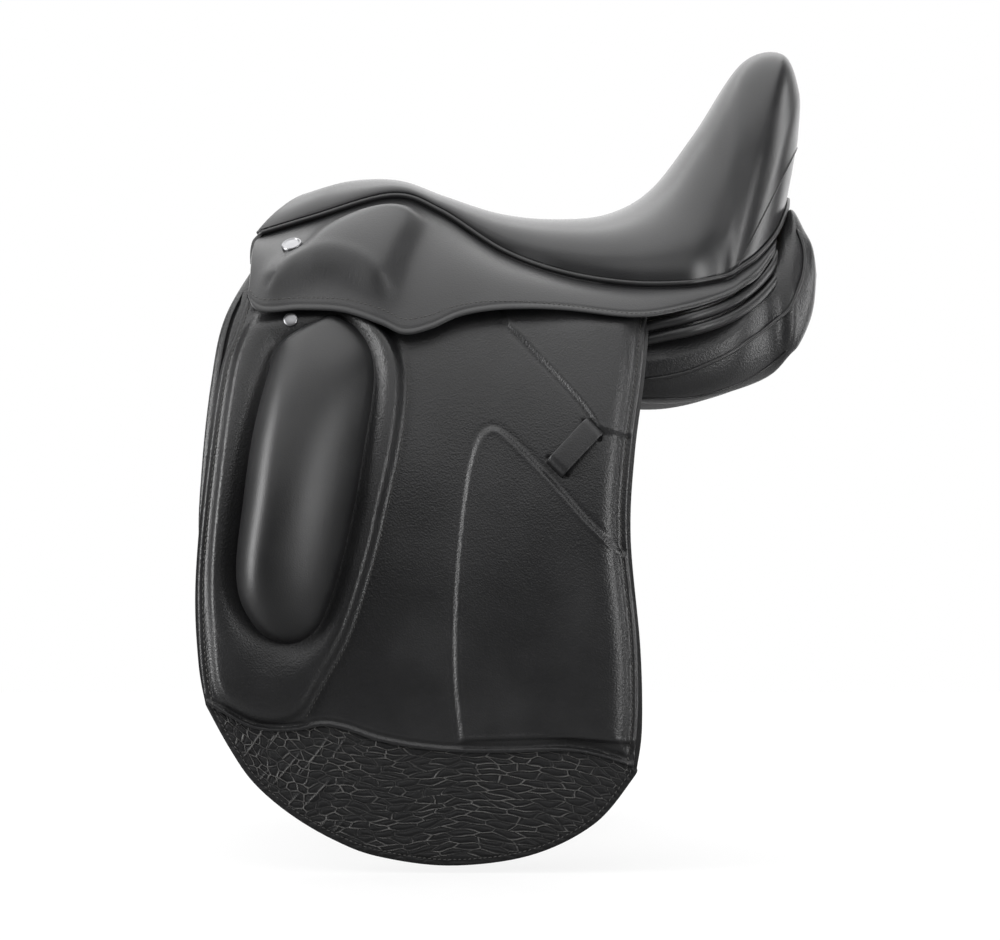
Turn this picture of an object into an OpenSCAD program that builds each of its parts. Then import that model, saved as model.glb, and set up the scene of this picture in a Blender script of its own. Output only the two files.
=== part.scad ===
// Dressage saddle. Front is -X, rear is +X, the rider's left is -Y, up is +Z.
// The origin lies on the centreline, where the panels bear on the horse's back.

/* [Seat] */
// Seat size, from the saddle nail to the middle of the cantle
seat_size = 444.5; // [420:0.5:470]
// Height of the deepest point of the seat
seat_low = 153; // [148:1:160]
// Rise of the cantle above the deepest point
cantle_rise = 144; // [120:1:160]
// Rise of the pommel above the deepest point
pommel_rise = 35; // [25:1:45]
// Width of the seat at its widest
seat_width = 250; // [240:1:256]
// Thickness of the seat leather
seat_leather = 2.5; // [1.5:0.1:3.5]
// Thickness of the seat foam
seat_foam_t = 13; // [8:0.5:16]
// Diameter of the piping between seat and skirt
welt_d = 5; // [3:0.5:6]
// Diameter of the rolled bands behind the cantle
roll_d = 9; // [6:0.5:10]

/* [Tree] */
// Thickness of the tree's laminate
tree_t = 8; // [5:0.5:10]
// Width of the tree's rails, across the seat, as a part of the half width
tree_rail = 0.42; // [0.3:0.02:0.5]
// Thickness of the steel head plate
head_plate_t = 4; // [2:0.5:6]
// Thickness of the seat webs
web_t = 2; // [1:0.5:3]

/* [Flap] */
// Height of the flap's lowest point, below the origin
flap_drop = 366; // [340:1:400]
// Height of the line where the flap bends
bend_z = 47; // [44:1:50]
// Thickness of the flap leather
flap_leather = 3.5; // [2.5:0.1:4.5]
// Thickness of the cover at its sewn edge
cover_edge = 2.2; // [1.5:0.1:3]
// Thickness of the padding under the cover
cover_pad = 6; // [3:0.5:9]
// Depth of the channels pressed into the padding
channel_depth = 3.5; // [1:0.5:4.5]
// Distance between the skirt and the flap at the skirt's lower edge
skirt_standoff = 15; // [14:0.5:18]
// Thickness of the skirt leather
skirt_leather = 3; // [2:0.1:4]
// Thickness of the sweat flap
sweat_leather = 3.5; // [2.5:0.1:4.5]

/* [Thigh block] */
// Height of the thigh block above the flap
block_h = 40; // [20:1:48]

/* [Girth straps] */
// Width of a girth strap
strap_w = 25; // [20:1:30]
// Thickness of a girth strap
strap_t = 4.5; // [3.5:0.5:6]
// Length of a girth strap below its pivot
strap_len = 330; // [280:5:340]
// Diameter of the buckle holes
hole_d = 5; // [4:0.5:7]
// Distance between buckle holes
hole_pitch = 25; // [20:1:30]
// Number of buckle holes
hole_count = 6; // [3:1:7]

/* [Stirrup bar] */
// Length of the stirrup bar
bar_len = 78; // [70:1:80]
// Height of the bar's section
bar_w = 12; // [9:1:14]
// Thickness of the bar's section
bar_t = 5; // [4:0.5:6]
// Opening behind the bar for the stirrup leather
bar_gap = 8; // [6:0.5:9]
// Diameter of the catch's pin
catch_pin_d = 4; // [3:0.5:5]

/* [Barrel of the horse] */
// Half width of the barrel at the flaps' inner side
barrel_w = 196; // [185:1:205]
// Height from the barrel's widest point to its top
barrel_h = 530; // [520:1:545]

/* [Clearances] */
// Clearance between pieces that lie on each other
fit_gap = 0.3; // [0.2:0.05:0.5]
// Clearance between curved layers
layer_gap = 0.7; // [0.5:0.05:0.9]
// Clearance on each side of a girth strap
strap_gap = 2; // [1.5:0.1:3]

/* [Hidden] */
barrel_z = -400;
barrel_n = 2.5;
welt_r = welt_d / 2;
roll_r = roll_d / 2;
leather = [0.13, 0.13, 0.14];
steel = [0.75, 0.76, 0.78];
wood = [0.7, 0.55, 0.38];
webbing = [0.85, 0.82, 0.74];
foam_c = [0.9, 0.85, 0.6];
SIDES = ["left", "right"];
SIDE_NODES = ["stirrup_bar", "bar_rivets", "stirrup_catch", "girth_web", "girth_strap_front",
    "girth_strap_rear", "panel", "panel_welt", "sweat_flap", "skirt_band", "skirt", "saddle_nail",
    "flap_head", "flap", "flap_cover", "thigh_block", "keeper", "flap_stud"];

// Curves and numbers
function lerp(a, b, t) = a + (b - a) * t;
function clamp01(t) = min(1, max(0, t));
function smooth(t) = let (c = clamp01(t)) c * c * (3 - 2 * c);
function unit(v) = v / norm(v);
function hill(t) = exp(-t * t);
function spline(p, t) =
    let (n = len(p) - 1, i = max(0, min(n - 1, floor(t))), f = t - i)
    let (a = p[max(0, i - 1)], b = p[i], c = p[i + 1], d = p[min(n, i + 2)])
    let (m0 = (c - a) / 2, m1 = (d - b) / 2, f2 = f * f, f3 = f2 * f)
    (2 * f3 - 3 * f2 + 1) * b + (f3 - 2 * f2 + f) * m0 + (3 * f2 - 2 * f3) * c + (f3 - f2) * m1;
function segment_distance(p, a, b) =
    let (d = b - a, t = clamp01(((p - a) * d) / (d * d)))
    norm(p - a - d * t);
function line_distance(p, line) =
    min([for (i = [0:len(line) - 2]) segment_distance(p, line[i], line[i + 1])]);

// Closed solid between an outer and an inner grid of the same size
module shell(outer, inner) {
    r = len(outer);
    c = len(outer[0]);
    n = r * c;
    points = concat([for (row = outer) each row], [for (row = inner) each row]);
    front = [for (i = [0:r - 2]) for (j = [0:c - 2]) let (a = i * c + j)
        each [[a, a + 1, a + c + 1], [a, a + c + 1, a + c]]];
    back = [for (f = front) [f[2] + n, f[1] + n, f[0] + n]];
    rim_loop = concat([for (j = [0:c - 2]) j], [for (i = [0:r - 2]) i * c + c - 1],
        [for (j = [c - 1:-1:1]) (r - 1) * c + j], [for (i = [r - 1:-1:1]) i * c]);
    m = len(rim_loop);
    rim = [for (k = [0:m - 1]) let (a = rim_loop[k], b = rim_loop[(k + 1) % m])
        each [[b, a, a + n], [b, a + n, b + n]]];
    polyhedron(points, concat(front, back, rim));
}

// Solid through a row of rings, with flat ends or closed on itself
module loft(rings, closed = false) {
    r = len(rings);
    c = len(rings[0]);
    last = closed ? r - 1 : r - 2;
    walls = [for (i = [0:last]) for (j = [0:c - 1])
        let (a = i * c, b = ((i + 1) % r) * c, k = (j + 1) % c)
        each [[a + j, b + k, b + j], [a + j, a + k, b + k]]];
    caps = closed ? [] : [[for (j = [c - 1:-1:0]) j], [for (j = [0:c - 1]) (r - 1) * c + j]];
    polyhedron([for (ring = rings) each ring], concat(walls, caps));
}

// Ring of a round tube about point p with direction d
function tube_ring(p, d, r, sides) =
    let (u = unit(cross(d, abs(d[2]) > 0.9 * norm(d) ? [1, 0, 0] : [0, 0, 1])), v = unit(cross(u, d)))
    [for (k = [0:sides - 1]) p + r * (cos(360 * k / sides) * u + sin(360 * k / sides) * v)];
module tube(path, r, sides = 8) {
    n = len(path) - 1;
    loft([for (i = [0:n]) tube_ring(path[i], path[min(n, i + 1)] - path[max(0, i - 1)], r, sides)]);
}

module on_side(side) {
    if (side == "left") children();
    else mirror([0, 1, 0]) children();
}
function flip(p) = [p[0], -p[1], p[2]];

// Seat: each station gives the middle line, the welt and the fullness of the section
// [x of middle, rise of middle, x of welt, half width share, welt height from seat_low, roundness, sweep]
seat_stations = [
    [-150, 0.72, -200, 0.46, -16, 1, 1.15],
    [-118, 0.97, -156, 0.48, -3, 0.7, 1.3],
    [-84, 0.94, -90, 0.5, 15, 0.5, 1.6],
    [-45, 0.54, -50, 0.54, 2, 0.45, 2],
    [0, 0.14, 2, 0.66, -32, 0.45, 2],
    [45, 0, 52, 0.84, -52, 0.45, 2],
    [90, 0.03, 105, 0.99, -62, 0.48, 2],
    [128, 0.18, 150, 1, -62, 0.55, 2],
    [165, 0.51, 178, 0.92, -57, 0.72, 2],
    [206, 0.93, 187, 0.88, -54, 0.9, 2],
    [241, 0.985, 192, 0.86, -51, 0.98, 2],
    [255, 0.8, 196, 0.84, -48, 1, 2]];
kx = seat_size / 444.5;
seat_fullness = 2.2;
first_rear = 5;
seat_table = [for (i = [0:len(seat_stations) - 1]) let (s = seat_stations[i])
    [s[0] * kx, seat_low + s[1] * (i < first_rear ? pommel_rise : cantle_rise), s[2] * kx,
    s[3] * seat_width / 2, seat_low + s[4], s[5], s[6]]];
seat_end = len(seat_stations) - 1;
// The welt goes on round the back of the cantle: [x, half width share, height from seat_low]
welt_back = [[212, 0.72, -36], [229, 0.52, -17], [241, 0.26, 5], [246, 0, 18]];
welt_line = concat([for (s = seat_table) [s[2], -s[3], s[4]]],
    [for (b = welt_back) [b[0] * kx, -b[1] * seat_width / 2, seat_low + b[2]]]);
welt_end = len(welt_line) - 1;
welt_lift = welt_r + layer_gap;

// The seat's edge stands higher where the welt climbs, at the head and behind the seat
function seat_raise(t) = 1 + 0.6 * smooth(t - 8) + 0.1 * smooth(1 - t);
// Point of the seat at station t, q from -1 at the left welt to 1 at the right
function seat_point(t, q) =
    let (s = spline(seat_table, t), w = sin(90 * min(1, abs(q))))
    let (h = pow(max(0, 1 - pow(w, seat_fullness)), s[5]), low = s[4] + welt_lift * seat_raise(t))
    [lerp(s[0], s[2], pow(w, s[6])), sign(q) * s[3] * w, lerp(low, s[1], h)];
function seat_normal(t, q) =
    let (e = 0.02, t0 = max(0, t - e), t1 = min(seat_end, t + e))
    let (q0 = max(-1, q - e), q1 = min(1, q + e))
    unit(cross(seat_point(t1, q) - seat_point(t0, q), seat_point(t, q1) - seat_point(t, q0)));
function under_seat(t, q, d) = seat_point(t, q) - d * seat_normal(t, q);
function span(a, b, n) = [for (i = [0:n]) lerp(a, b, i / n)];
function seat_grid(t_list, q_list, d) = [for (t = t_list) [for (q = q_list) under_seat(t, q, d)]];

// Side of the barrel: half width at height z, and the direction away from it
function barrel(z) = let (f = abs(z - barrel_z) / barrel_h)
    barrel_w * pow(1 - pow(f, barrel_n), 1 / barrel_n);
function barrel_out(z) = let (e = 1) unit([2 * e, barrel(z - e) - barrel(z + e)]);
function beside(x, z, d) = let (n = barrel_out(z)) [x, -barrel(z) - d * n[0], z + d * n[1]];
// Half width of a layer that lies d outside the barrel, at its own height z
function layer_width(z, d) = let (n = barrel_out(z - 0.6 * d)) barrel(z - d * n[1]) + d * n[0];

strap_in = sweat_leather + strap_gap;
flap_in = strap_in + strap_t + strap_gap;
flap_out = flap_in + flap_leather;
cover_in = flap_out + fit_gap;

// Layer on the barrel between the front and rear edges, with its depth as a function of place
function layer_grid(front, rear, rows, cols, depth) =
    let (n = len(front) - 1)
    [for (i = [0:rows]) let (a = spline(front, n * i / rows), b = spline(rear, n * i / rows))
        [for (j = [0:cols]) let (p = lerp(a, b, j / cols))
            beside(p[0], p[1], depth(p[0], p[1], j / cols, i / rows))]];

// Outlines of the flap, from the bend down to the lowest point, as [x, z]
toe_z = -flap_drop;
cover_start = 8;
flap_front = [[-217, bend_z], [-224, 15], [-231, -60], [-237, -150], [-230, -235], [-196, -297],
    [-132, toe_z + 19], [-60, toe_z - 2]];
flap_rear = [[119, bend_z], [115, 10], [106, -50], [102, -115], [109, -200], [109, -270], [76, toe_z + 31],
    [-16, toe_z - 2]];
cover_front = [[-214, bend_z - cover_start], [-221, 12], [-228, -60], [-234, -140], [-229, -200],
    [-217, -238], [-195, -258], [-150, -262]];
cover_rear = [[116, bend_z - cover_start], [112, 8], [103, -50], [99, -112], [105, -190],
    [107, -245], [103, -284], [66, -278]];
// Channels pressed into the cover, as [x, z]
channel_roll = [[-74, 22], [-74, -10], [-80, -52], [-90, -100], [-103, -145], [-122, -195], [-150, -245]];
channel_diagonal = [[6, 45], [45, 8], [70, -25], [84, -45]];
channel_pad = [[-30, -250], [-36, -130], [-28, -60], [-5, -34], [20, -44], [70, -90], [97, -122]];
channel_w = 12;

function press(x, z, line) = 1 - smooth(line_distance([x, z], line) / channel_w);
function edge_rise(v, w) = smooth(min(v, 1 - v) / 0.1) * smooth(w / 0.2) * smooth((1 - w) / 0.08);
function cover_depth(x, z, v, w) =
    let (pressed = max(press(x, z, channel_roll), press(x, z, channel_diagonal), press(x, z, channel_pad)))
    cover_in + cover_edge + edge_rise(v, w) * (cover_pad - channel_depth * pressed);

block_front = [[-150, 45], [-178, 18], [-193, -42], [-202, -100], [-204, -150], [-192, -182], [-170, -195]];
block_rear = [[-122, 42], [-101, 13], [-106, -50], [-114, -97], [-126, -144], [-138, -182], [-160, -195]];
block_in = cover_in + cover_edge + cover_pad + fit_gap;
function dome(v) = pow(max(0, 1 - pow(abs(2 * v - 1), 2.4)), 0.6);
block_edge = 1;
function block_depth(v, w) =
    block_in + block_edge + (block_h - block_edge) * dome(v) * pow(dome(lerp(0.02, 0.98, w)), 0.8);

module flat_layer(front, rear, rows, cols, d0, d1) {
    shell(layer_grid(front, rear, rows, cols, function(x, z, v, w) d1),
        layer_grid(front, rear, rows, cols, function(x, z, v, w) d0));
}

module flap(side) {
    color(leather) on_side(side) flat_layer(flap_front, flap_rear, 20, 8, flap_in, flap_out);
}

module flap_cover(side) {
    color(leather) on_side(side) shell(
        layer_grid(cover_front, cover_rear, 20, 16, function(x, z, v, w) cover_depth(x, z, v, w)),
        layer_grid(cover_front, cover_rear, 20, 16, function(x, z, v, w) cover_in));
}

module thigh_block(side) {
    color(leather) on_side(side) shell(
        layer_grid(block_front, block_rear, 14, 8, function(x, z, v, w) block_depth(v, w)),
        layer_grid(block_front, block_rear, 14, 8, function(x, z, v, w) block_in));
}

// Sweat flap between the straps and the horse, with its front edge ahead of the flap
sweat_front = [[-209, 82], [-228, 52], [-233, 6], [-236, -60], [-236, -120], [-224, -200], [-180, -280],
    [-100, -322], [-70, -330]];
sweat_rear = [[108, 82], [106, 52], [102, 10], [95, -50], [92, -120], [95, -200], [80, -280], [40, -320],
    [-10, -330]];
module sweat_flap(side) {
    color(leather) on_side(side) flat_layer(sweat_front, sweat_rear, 16, 6, 0, sweat_leather);
}

// Girth straps: the side profile of a layer on the barrel, pushed to the strap's width
strap_pivot_z = 30;
strap_places = [-62, 30];
strap_end = strap_pivot_z - strap_len;
hole_end = 30;
first_hole = strap_end + hole_end;
function layer_profile(z0, z1, d0, d1, n) = concat(
    [for (z = span(z0, z1, n)) let (p = beside(0, z, d0)) [p[1], p[2]]],
    [for (z = span(z1, z0, n)) let (p = beside(0, z, d1)) [p[1], p[2]]]);
module layer_strip(x, w, z0, z1, d0, d1, n) {
    translate([x - w / 2, 0, 0]) rotate([90, 0, 90]) linear_extrude(w)
        polygon(layer_profile(z0, z1, d0, d1, n));
}
// Places its children on the layer d, with their Z away from the barrel
module on_barrel(x, z, d) {
    n = barrel_out(z);
    translate(beside(x, z, d)) rotate([atan2(n[0], n[1]), 0, 0]) children();
}
module girth_strap(side, place) {
    x = strap_places[place];
    far = 2 * barrel_w;
    color(leather) on_side(side) difference() {
        intersection() {
            layer_strip(x, strap_w, strap_pivot_z + strap_w, strap_end, strap_in, strap_in + strap_t, 14);
            union() {
                translate([x, 0, strap_pivot_z]) rotate([90, 0, 0]) cylinder(d = strap_w, h = far, $fn = 64);
                translate([x - strap_w / 2, -far, strap_pivot_z - 2 * strap_len])
                    cube([strap_w, far, 2 * strap_len]);
            }
        }
        for (i = [0:hole_count - 1]) on_barrel(x, first_hole + i * hole_pitch, strap_in + strap_t / 2)
            cylinder(d = hole_d, h = 4 * strap_t, center = true, $fn = 48);
    }
}

// Webs that carry the straps, nailed below the tree
web_low = strap_pivot_z + strap_w / 2 + fit_gap;
web_high = 80;
web_w = 1.6 * strap_w;
module girth_web(side) {
    far = 2 * barrel_w;
    color(webbing) on_side(side) for (x = strap_places) intersection() {
        layer_strip(x, web_w, web_low - strap_w, web_high, sweat_leather + layer_gap, flap_in - layer_gap, 6);
        translate([x - web_w, -far, web_low]) cube([2 * web_w, far, far]);
    }
}

// Side of the saddle from the welt to the skirt's lower edge
// [place on the welt line, x, z, distance from the centreline or 0 to follow the flap]
skirt_stations = [[0.02, -206, 90, 0], [0.5, -192, 67, 0], [1, -160, 68, 0], [1.5, -125, 66, 0],
    [2, -95, 56, 0], [2.4, -76, 48, 0], [2.8, -56, 52, 0], [3.3, -34, 62, 0], [3.72, -12, 67, 0],
    [4.3, 15, 69, 0], [5, 52, 68, 0], [6, 108, 62, 0], [7, 150, 69, 143], [8.4, 182, 80, 130],
    [11, 198, 89, 120], [12, 211, 98, 105], [13, 227, 119, 79]];
skirt_cut = 8;
skirt_last = len(skirt_stations) - 1;
skirt_d = flap_out + skirt_standoff;
cut_gap = 0.4;
skirt_crown = 10;
bar_bulge = 17.5;
bar_spread = 58;
bar_height = 0.26;
bar_x = -112;
function skirt_low(s) = [s[1] * kx, -(s[3] == 0 ? layer_width(s[2], skirt_d) : s[3]), s[2]];
side_low = [for (s = skirt_stations) skirt_low(s)];
side_welt = [for (s = skirt_stations) s[0]];
// Point at station t, w from 0 at the welt to 1 at the lower edge, d outside the straight line
function side_point(t, w, d) =
    let (a = spline(welt_line, spline(side_welt, t)) - [0, 0, welt_lift + fit_gap], b = spline(side_low, t))
    lerp(a, b, w) + d * side_out(t);
function side_out(t) =
    let (a = spline(welt_line, spline(side_welt, t)), b = spline(side_low, t))
    unit(cross(b - a, [1, 0, 0]));
function skirt_bulge(x, t, w) = skirt_crown * sin(180 * w) * (1 - 0.8 * smooth((t - skirt_cut) / 4))
    + bar_bulge * smooth(w / 0.2)
    * hill((x / kx - bar_x) / bar_spread) * hill((w - bar_w_place) / bar_height);
function skirt_point(t, w, d) =
    let (x = side_point(t, w, 0)[0])
    side_point(t, w, d + skirt_bulge(x, t, w));
function skirt_grid(t_list, rows, d, shift) =
    [for (i = [0:rows]) [for (t = t_list) skirt_point(t, i / rows, d) + [shift, 0, 0]]];
module skirt_piece(t_list, rows, shift) {
    shell(skirt_grid(t_list, rows, 0, shift), skirt_grid(t_list, rows, -skirt_leather, shift));
}
module skirt(side) {
    color(leather) on_side(side) skirt_piece(span(0, skirt_cut, 20), 10, -cut_gap);
}
module skirt_band(side) {
    color(leather) on_side(side) skirt_piece(span(skirt_cut, skirt_last, 18), 5, cut_gap);
}

// Upper strip of the flap: it leaves the barrel and is nailed to the tree's side
head_cut = bend_z + 0.6;
head_mid = 74;
head_w = 0.515;
head_from = 0.25;
head_to = 11;
// Towards the rear the strip runs straight from the tree to the bend
head_turn = 6.5;
head_seat = 3.3 * layer_gap;
head_straight = 3;
function head_top(t, d) = side_point(t, head_w, d - flap_in + head_seat - board_in);
function head_middle(x, t, d) = lerp(beside(x, head_mid, d), (head_top(t, d) + beside(x, head_cut, d)) / 2,
    smooth((t - head_turn) / head_straight));
function head_row(row, x, t, d) = row == 0 ? head_top(t, d)
    : row == 1 ? head_middle(x, t, d) : beside(x, head_cut, d);
function head_grid(d) = [for (row = [0:2]) [for (t = span(head_from, head_to, 16))
    head_row(row, spline(side_low, t)[0], t, d)]];
module flap_head(side) {
    color(leather) on_side(side) shell(head_grid(flap_out), head_grid(flap_in));
}

seat_rows = 24;
seat_t = span(0, seat_end, seat_rows);
foam_q = span(-0.88, 0.88, 16);
module seat() {
    q = concat([-1, -0.96], foam_q, [0.96, 1]);
    color(leather) shell(seat_grid(seat_t, q, 0), seat_grid(seat_t, q, seat_leather));
}

foam_top = seat_leather + layer_gap;
foam_low = foam_top + seat_foam_t;
// The foam is thinner over the pommel's arch
foam_thin = 0.4;
foam_full = 3.5;
function foam_depth(t) = foam_top + seat_foam_t * lerp(foam_thin, 1, smooth((t - 1) / (foam_full - 1)));
module seat_foam() {
    t = [for (i = [1:seat_rows - 1]) seat_t[i]];
    color(foam_c) shell(seat_grid(t, foam_q, foam_top),
        [for (a = t) [for (q = foam_q) under_seat(a, q, foam_depth(a))]]);
}

// Tree: a closed rail under the foam, with side boards that carry bars, skirts and flaps
tree_gap = layer_gap + 2 * fit_gap;
// The laminate's thickness runs along the seat's normal, turned a little upright
tree_upright = 1.2;
rail_steps = 16;
tree_front = 0.3;
tree_back = seat_end - 1.8;
tree_q = 0.77;
tree_gap_front = 2.2;
tree_gap_back = seat_end - 3.2;
cross_q = span(-0.8, 0.8, 16);
board_in = 6;
board_w = 0.57;
board_start = 0.7;
board_end = 3;
board_fade = 1;
// Place in the side's stations for a place t on the welt line
function side_place(t) = lookup(t, [for (i = [0:skirt_last]) [side_welt[i], i]]);
function tree_loop() = concat(
    [for (i = [0:rail_steps]) [lerp(tree_front, tree_back, i / rail_steps), -1]],
    [for (q = cross_q) [tree_back, q]],
    [for (i = [rail_steps:-1:0]) [lerp(tree_front, tree_back, i / rail_steps), 1]],
    [for (q = cross_q) [tree_front, -q]]);
function rail_under(t, q, d) =
    under_seat(t, q, foam_depth(t) + tree_gap) - d * unit(seat_normal(t, q) + [0, 0, tree_upright]);
// Point of the rail, f from its outer to its inner edge, d below its top
function rail_point(p, f, d) =
    let (along = (p[0] - tree_front) / (tree_back - tree_front), outer_q = p[1] * tree_q)
    let (inner_t = lerp(tree_gap_front, tree_gap_back, along), inner_q = p[1] * (tree_q - tree_rail))
    rail_under(lerp(p[0], inner_t, f), lerp(outer_q, inner_q, f), d);
function rail_ring(p) = concat(
    [for (f = span(1, 0, 4)) rail_point(p, f, tree_t)],
    [for (f = span(0, 1, 4)) rail_point(p, f, 0)]);
// The left board hangs from the rail's edge, board_root inside it, and is as deep as board_w beside the bar
board_top = 0.3;
board_thin = 0.36;
board_root = 0.12;
function board_low(t) =
    let (fade = smooth((t - tree_front) / board_start) * (1 - smooth((t - board_end) / board_fade)))
    lerp(board_thin, board_w, fade);
function board_row(t, depth, flat) = concat(
    [rail_point([t, -1], board_root, depth * tree_t)],
    [for (w = span(board_top, board_low(t), 2)) side_point(side_place(t), w, flat)]);
module board() {
    t = span(tree_front, board_end + board_fade, 10);
    shell([for (a = t) board_row(a, 0.75, -board_in - tree_t)], [for (a = t) board_row(a, 0.25, -board_in)]);
}
module tree() {
    color(wood) union() {
        loft([for (p = tree_loop()) rail_ring(p)], closed = true);
        board();
        mirror([0, 1, 0]) board();
    }
}

plate_top = tree_t + layer_gap;
plate_low = plate_top + head_plate_t;
plate_f = span(0, 0.5, 2);
module head_plate() {
    color(steel) shell([for (f = plate_f) [for (q = cross_q) rail_point([tree_front, q], f, plate_top)]],
        [for (f = plate_f) [for (q = cross_q) rail_point([tree_front, q], f, plate_low)]]);
}
function plate_middle(q, d) = rail_point([tree_front, q], plate_f[1], d);
head_rivet_d = 7;
head_rivet_h = 2;
head_rivet_places = [-0.6, -0.4, 0.4, 0.6];
head_rivet_seat = 2.1 * layer_gap;
module head_plate_rivets() {
    for (q = head_rivet_places) {
        a = plate_middle(q, plate_low);
        n = unit(a - plate_middle(q, plate_top));
        color(steel) translate(a + head_rivet_seat * n) rotate([0, acos(n[2]), atan2(n[1], n[0])])
            cylinder(d = head_rivet_d, h = head_rivet_h, $fn = 32);
    }
}

web_top = foam_low + layer_gap;
// Half widths of the webs and their places, in stations of the seat
web_q = 0.12;
web_from = 2.5;
web_to = seat_end - 3.5;
cross_web_clear = 0.04;
cross_web_q = tree_q - tree_rail - cross_web_clear;
cross_web_places = [3.2, 4.6, 6];
cross_web_step = 0.6;
module seat_web() {
    q = span(-web_q, web_q, 2);
    t = span(web_from, web_to, 12);
    color(webbing) shell(seat_grid(t, q, web_top), seat_grid(t, q, web_top + web_t));
}
module seat_cross_webs() {
    q = span(-cross_web_q, cross_web_q, 6);
    d = web_top + web_t + layer_gap;
    color(webbing) for (c = cross_web_places) {
        t = span(c, c + cross_web_step, 2);
        shell(seat_grid(t, q, d), seat_grid(t, q, d + web_t));
    }
}

// Back of the cantle, between the seam at the end of the seat and the welt
cover_span = 0.9;
cantle_belly = 4;
function cantle_low(v) =
    let (p = spline(welt_line, lerp(welt_end, seat_end, abs(v))))
    [p[0], -sign(v) * p[1], p[2] + welt_lift];
function cantle_point(v, w, d) =
    let (a = seat_point(seat_end, v) + [fit_gap + seat_leather, 0, 0], b = cantle_low(v))
    lerp(a, b, w) + [d + cantle_belly * sin(180 * w) * (1 - abs(v)), 0, 0];
module cantle_cover() {
    v = span(-cover_span, cover_span, 16);
    w = span(0, 1, 6);
    color(leather) shell([for (b = w) [for (a = v) cantle_point(a, b, 0)]],
        [for (b = w) [for (a = v) cantle_point(a, b, -seat_leather)]]);
}

function both_sides(path) = concat(path, [for (i = [len(path) - 2:-1:0]) flip(path[i])]);
welt_t = concat(seat_t, [for (k = [1:10]) lerp(seat_end, welt_end, k / 10)]);
module seat_welt() {
    color(leather) tube(both_sides([for (t = welt_t) spline(welt_line, t)]), welt_r, 6);
}

// Rolled bands below the skirt, round the back: [x, half width, z]
roll_line = [[120.5, 138, 55.5], [152, 138, 62], [178, 126, 71], [200, 110, 84], [219, 88, 102],
    [231, 60, 122], [240, 28, 143], [243, 0, 149]];
// How far the lower band stands behind the upper one
roll_step = 4;
function roll_path(drop, out) = both_sides([for (t = span(0, len(roll_line) - 1, 16))
    let (p = spline(roll_line, t)) [(p[0] + out) * kx, -p[1], p[2] - drop]]);
module rear_roll_upper() {
    color(leather) tube(roll_path(0, 0), roll_r);
}
module rear_roll_lower() {
    color(leather) tube(roll_path(roll_d + 2 * fit_gap, roll_step), roll_r);
}

// Pommel facing: a rolled strip under the front edge of the seat
facing_h = 26;
facing_drop = 2;
facing_t = 3;
facing_roll = 2;
facing_q = 0.8;
function facing_point(q, w, ahead) =
    seat_point(0, q) - [layer_gap + ahead + facing_roll * sin(180 * w), 0, facing_drop + facing_h * w];
module pommel_facing() {
    q = span(-facing_q, facing_q, 18);
    w = span(0, 1, 2);
    color(leather) shell([for (a = q) [for (b = w) facing_point(a, b, facing_t)]],
        [for (a = q) [for (b = w) facing_point(a, b, 0)]]);
}

// Panel: stations of [x, y, z, half width, half height, tilt]
panel_stations = [[-166, 90, 84, 14, 10, 50], [-145, 88, 78, 36, 18, 48], [-80, 84, 60, 50, 22, 42],
    [0, 82, 40, 54, 24, 36], [80, 84, 32, 56, 26, 32], [140, 84, 32, 56, 28, 30], [190, 80, 43, 54, 30, 28],
    [228, 69, 62, 46, 31.5, 25], [248, 62, 83, 36, 36, 16], [258, 60, 95, 28, 36, 10],
    [264, 60, 98, 12, 20, 8]];
panel_sides = 20;
function panel_ring(t) =
    let (s = spline(panel_stations, t))
    [for (k = [0:panel_sides - 1]) let (a = 360 * k / panel_sides, e = 0.75)
        let (u = s[3] * sign(cos(a)) * pow(abs(cos(a)), e), v = s[4] * sign(sin(a)) * pow(abs(sin(a)), e))
        let (y = s[1] + u * cos(s[5]) + v * sin(s[5]), z = s[2] - u * sin(s[5]) + v * cos(s[5]))
        [s[0] * kx, -min(y, barrel(min(z, 100)) - fit_gap), z]];
module panel(side) {
    color(leather) on_side(side) loft([for (t = span(0, len(panel_stations) - 1, 26)) panel_ring(t)]);
}
welt_at = 1;
panel_welt_r = 0.6 * welt_r;
module panel_welt(side) {
    path = [for (t = span(4.2, len(panel_stations) - 1.9, 24)) let (r = panel_ring(t), c = r[welt_at])
        c + (panel_welt_r + 2 * layer_gap) * unit([0, -1, 0.3])];
    color(leather) on_side(side) tube(path, panel_welt_r);
}

// Places its children on the tree's side board, with their Z away from it and X to the rear
module on_board(t, w, d) {
    n = side_out(t);
    translate(side_point(t, w, d)) rotate([atan2(-n[1], n[2]), 0, 0]) children();
}
// Stirrup bar: a back plate, a foot at its front end and a bar that is open to the rear
bar_t_place = 3.45;
bar_w_place = 0.41;
bar_plate_t = 3;
bar_plate_len = 0.92 * bar_len;
bar_seat = 1.8;
bar_foot = 14;
bar_rest = -board_in + bar_seat;
bar_lift = bar_plate_t + bar_gap;
rivet_d = 7;
rivet_h = 2;
rivet_seat = 1.2;
rivet_places = [-0.15, 0];
// How far the board's inner face leans out along the bar
rivet_lean = 0.085;
// The catch is the last stretch of the bar and turns on a pin at the bar's end
catch_len = 18;
bar_back = bar_len / 2 - catch_len;
catch_x = bar_back + catch_pin_d + fit_gap;
module stirrup_bar(side) {
    color(steel) on_side(side) on_board(bar_t_place, bar_w_place, bar_rest) {
        translate([-bar_len / 2, -bar_w, 0]) cube([bar_plate_len, 2 * bar_w, bar_plate_t]);
        translate([-bar_len / 2, -bar_w / 2, 0]) cube([bar_foot, bar_w, bar_lift + bar_t]);
        translate([-bar_len / 2, -bar_w / 2, bar_lift]) cube([bar_len / 2 + bar_back, bar_w, bar_t]);
    }
}
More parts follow.
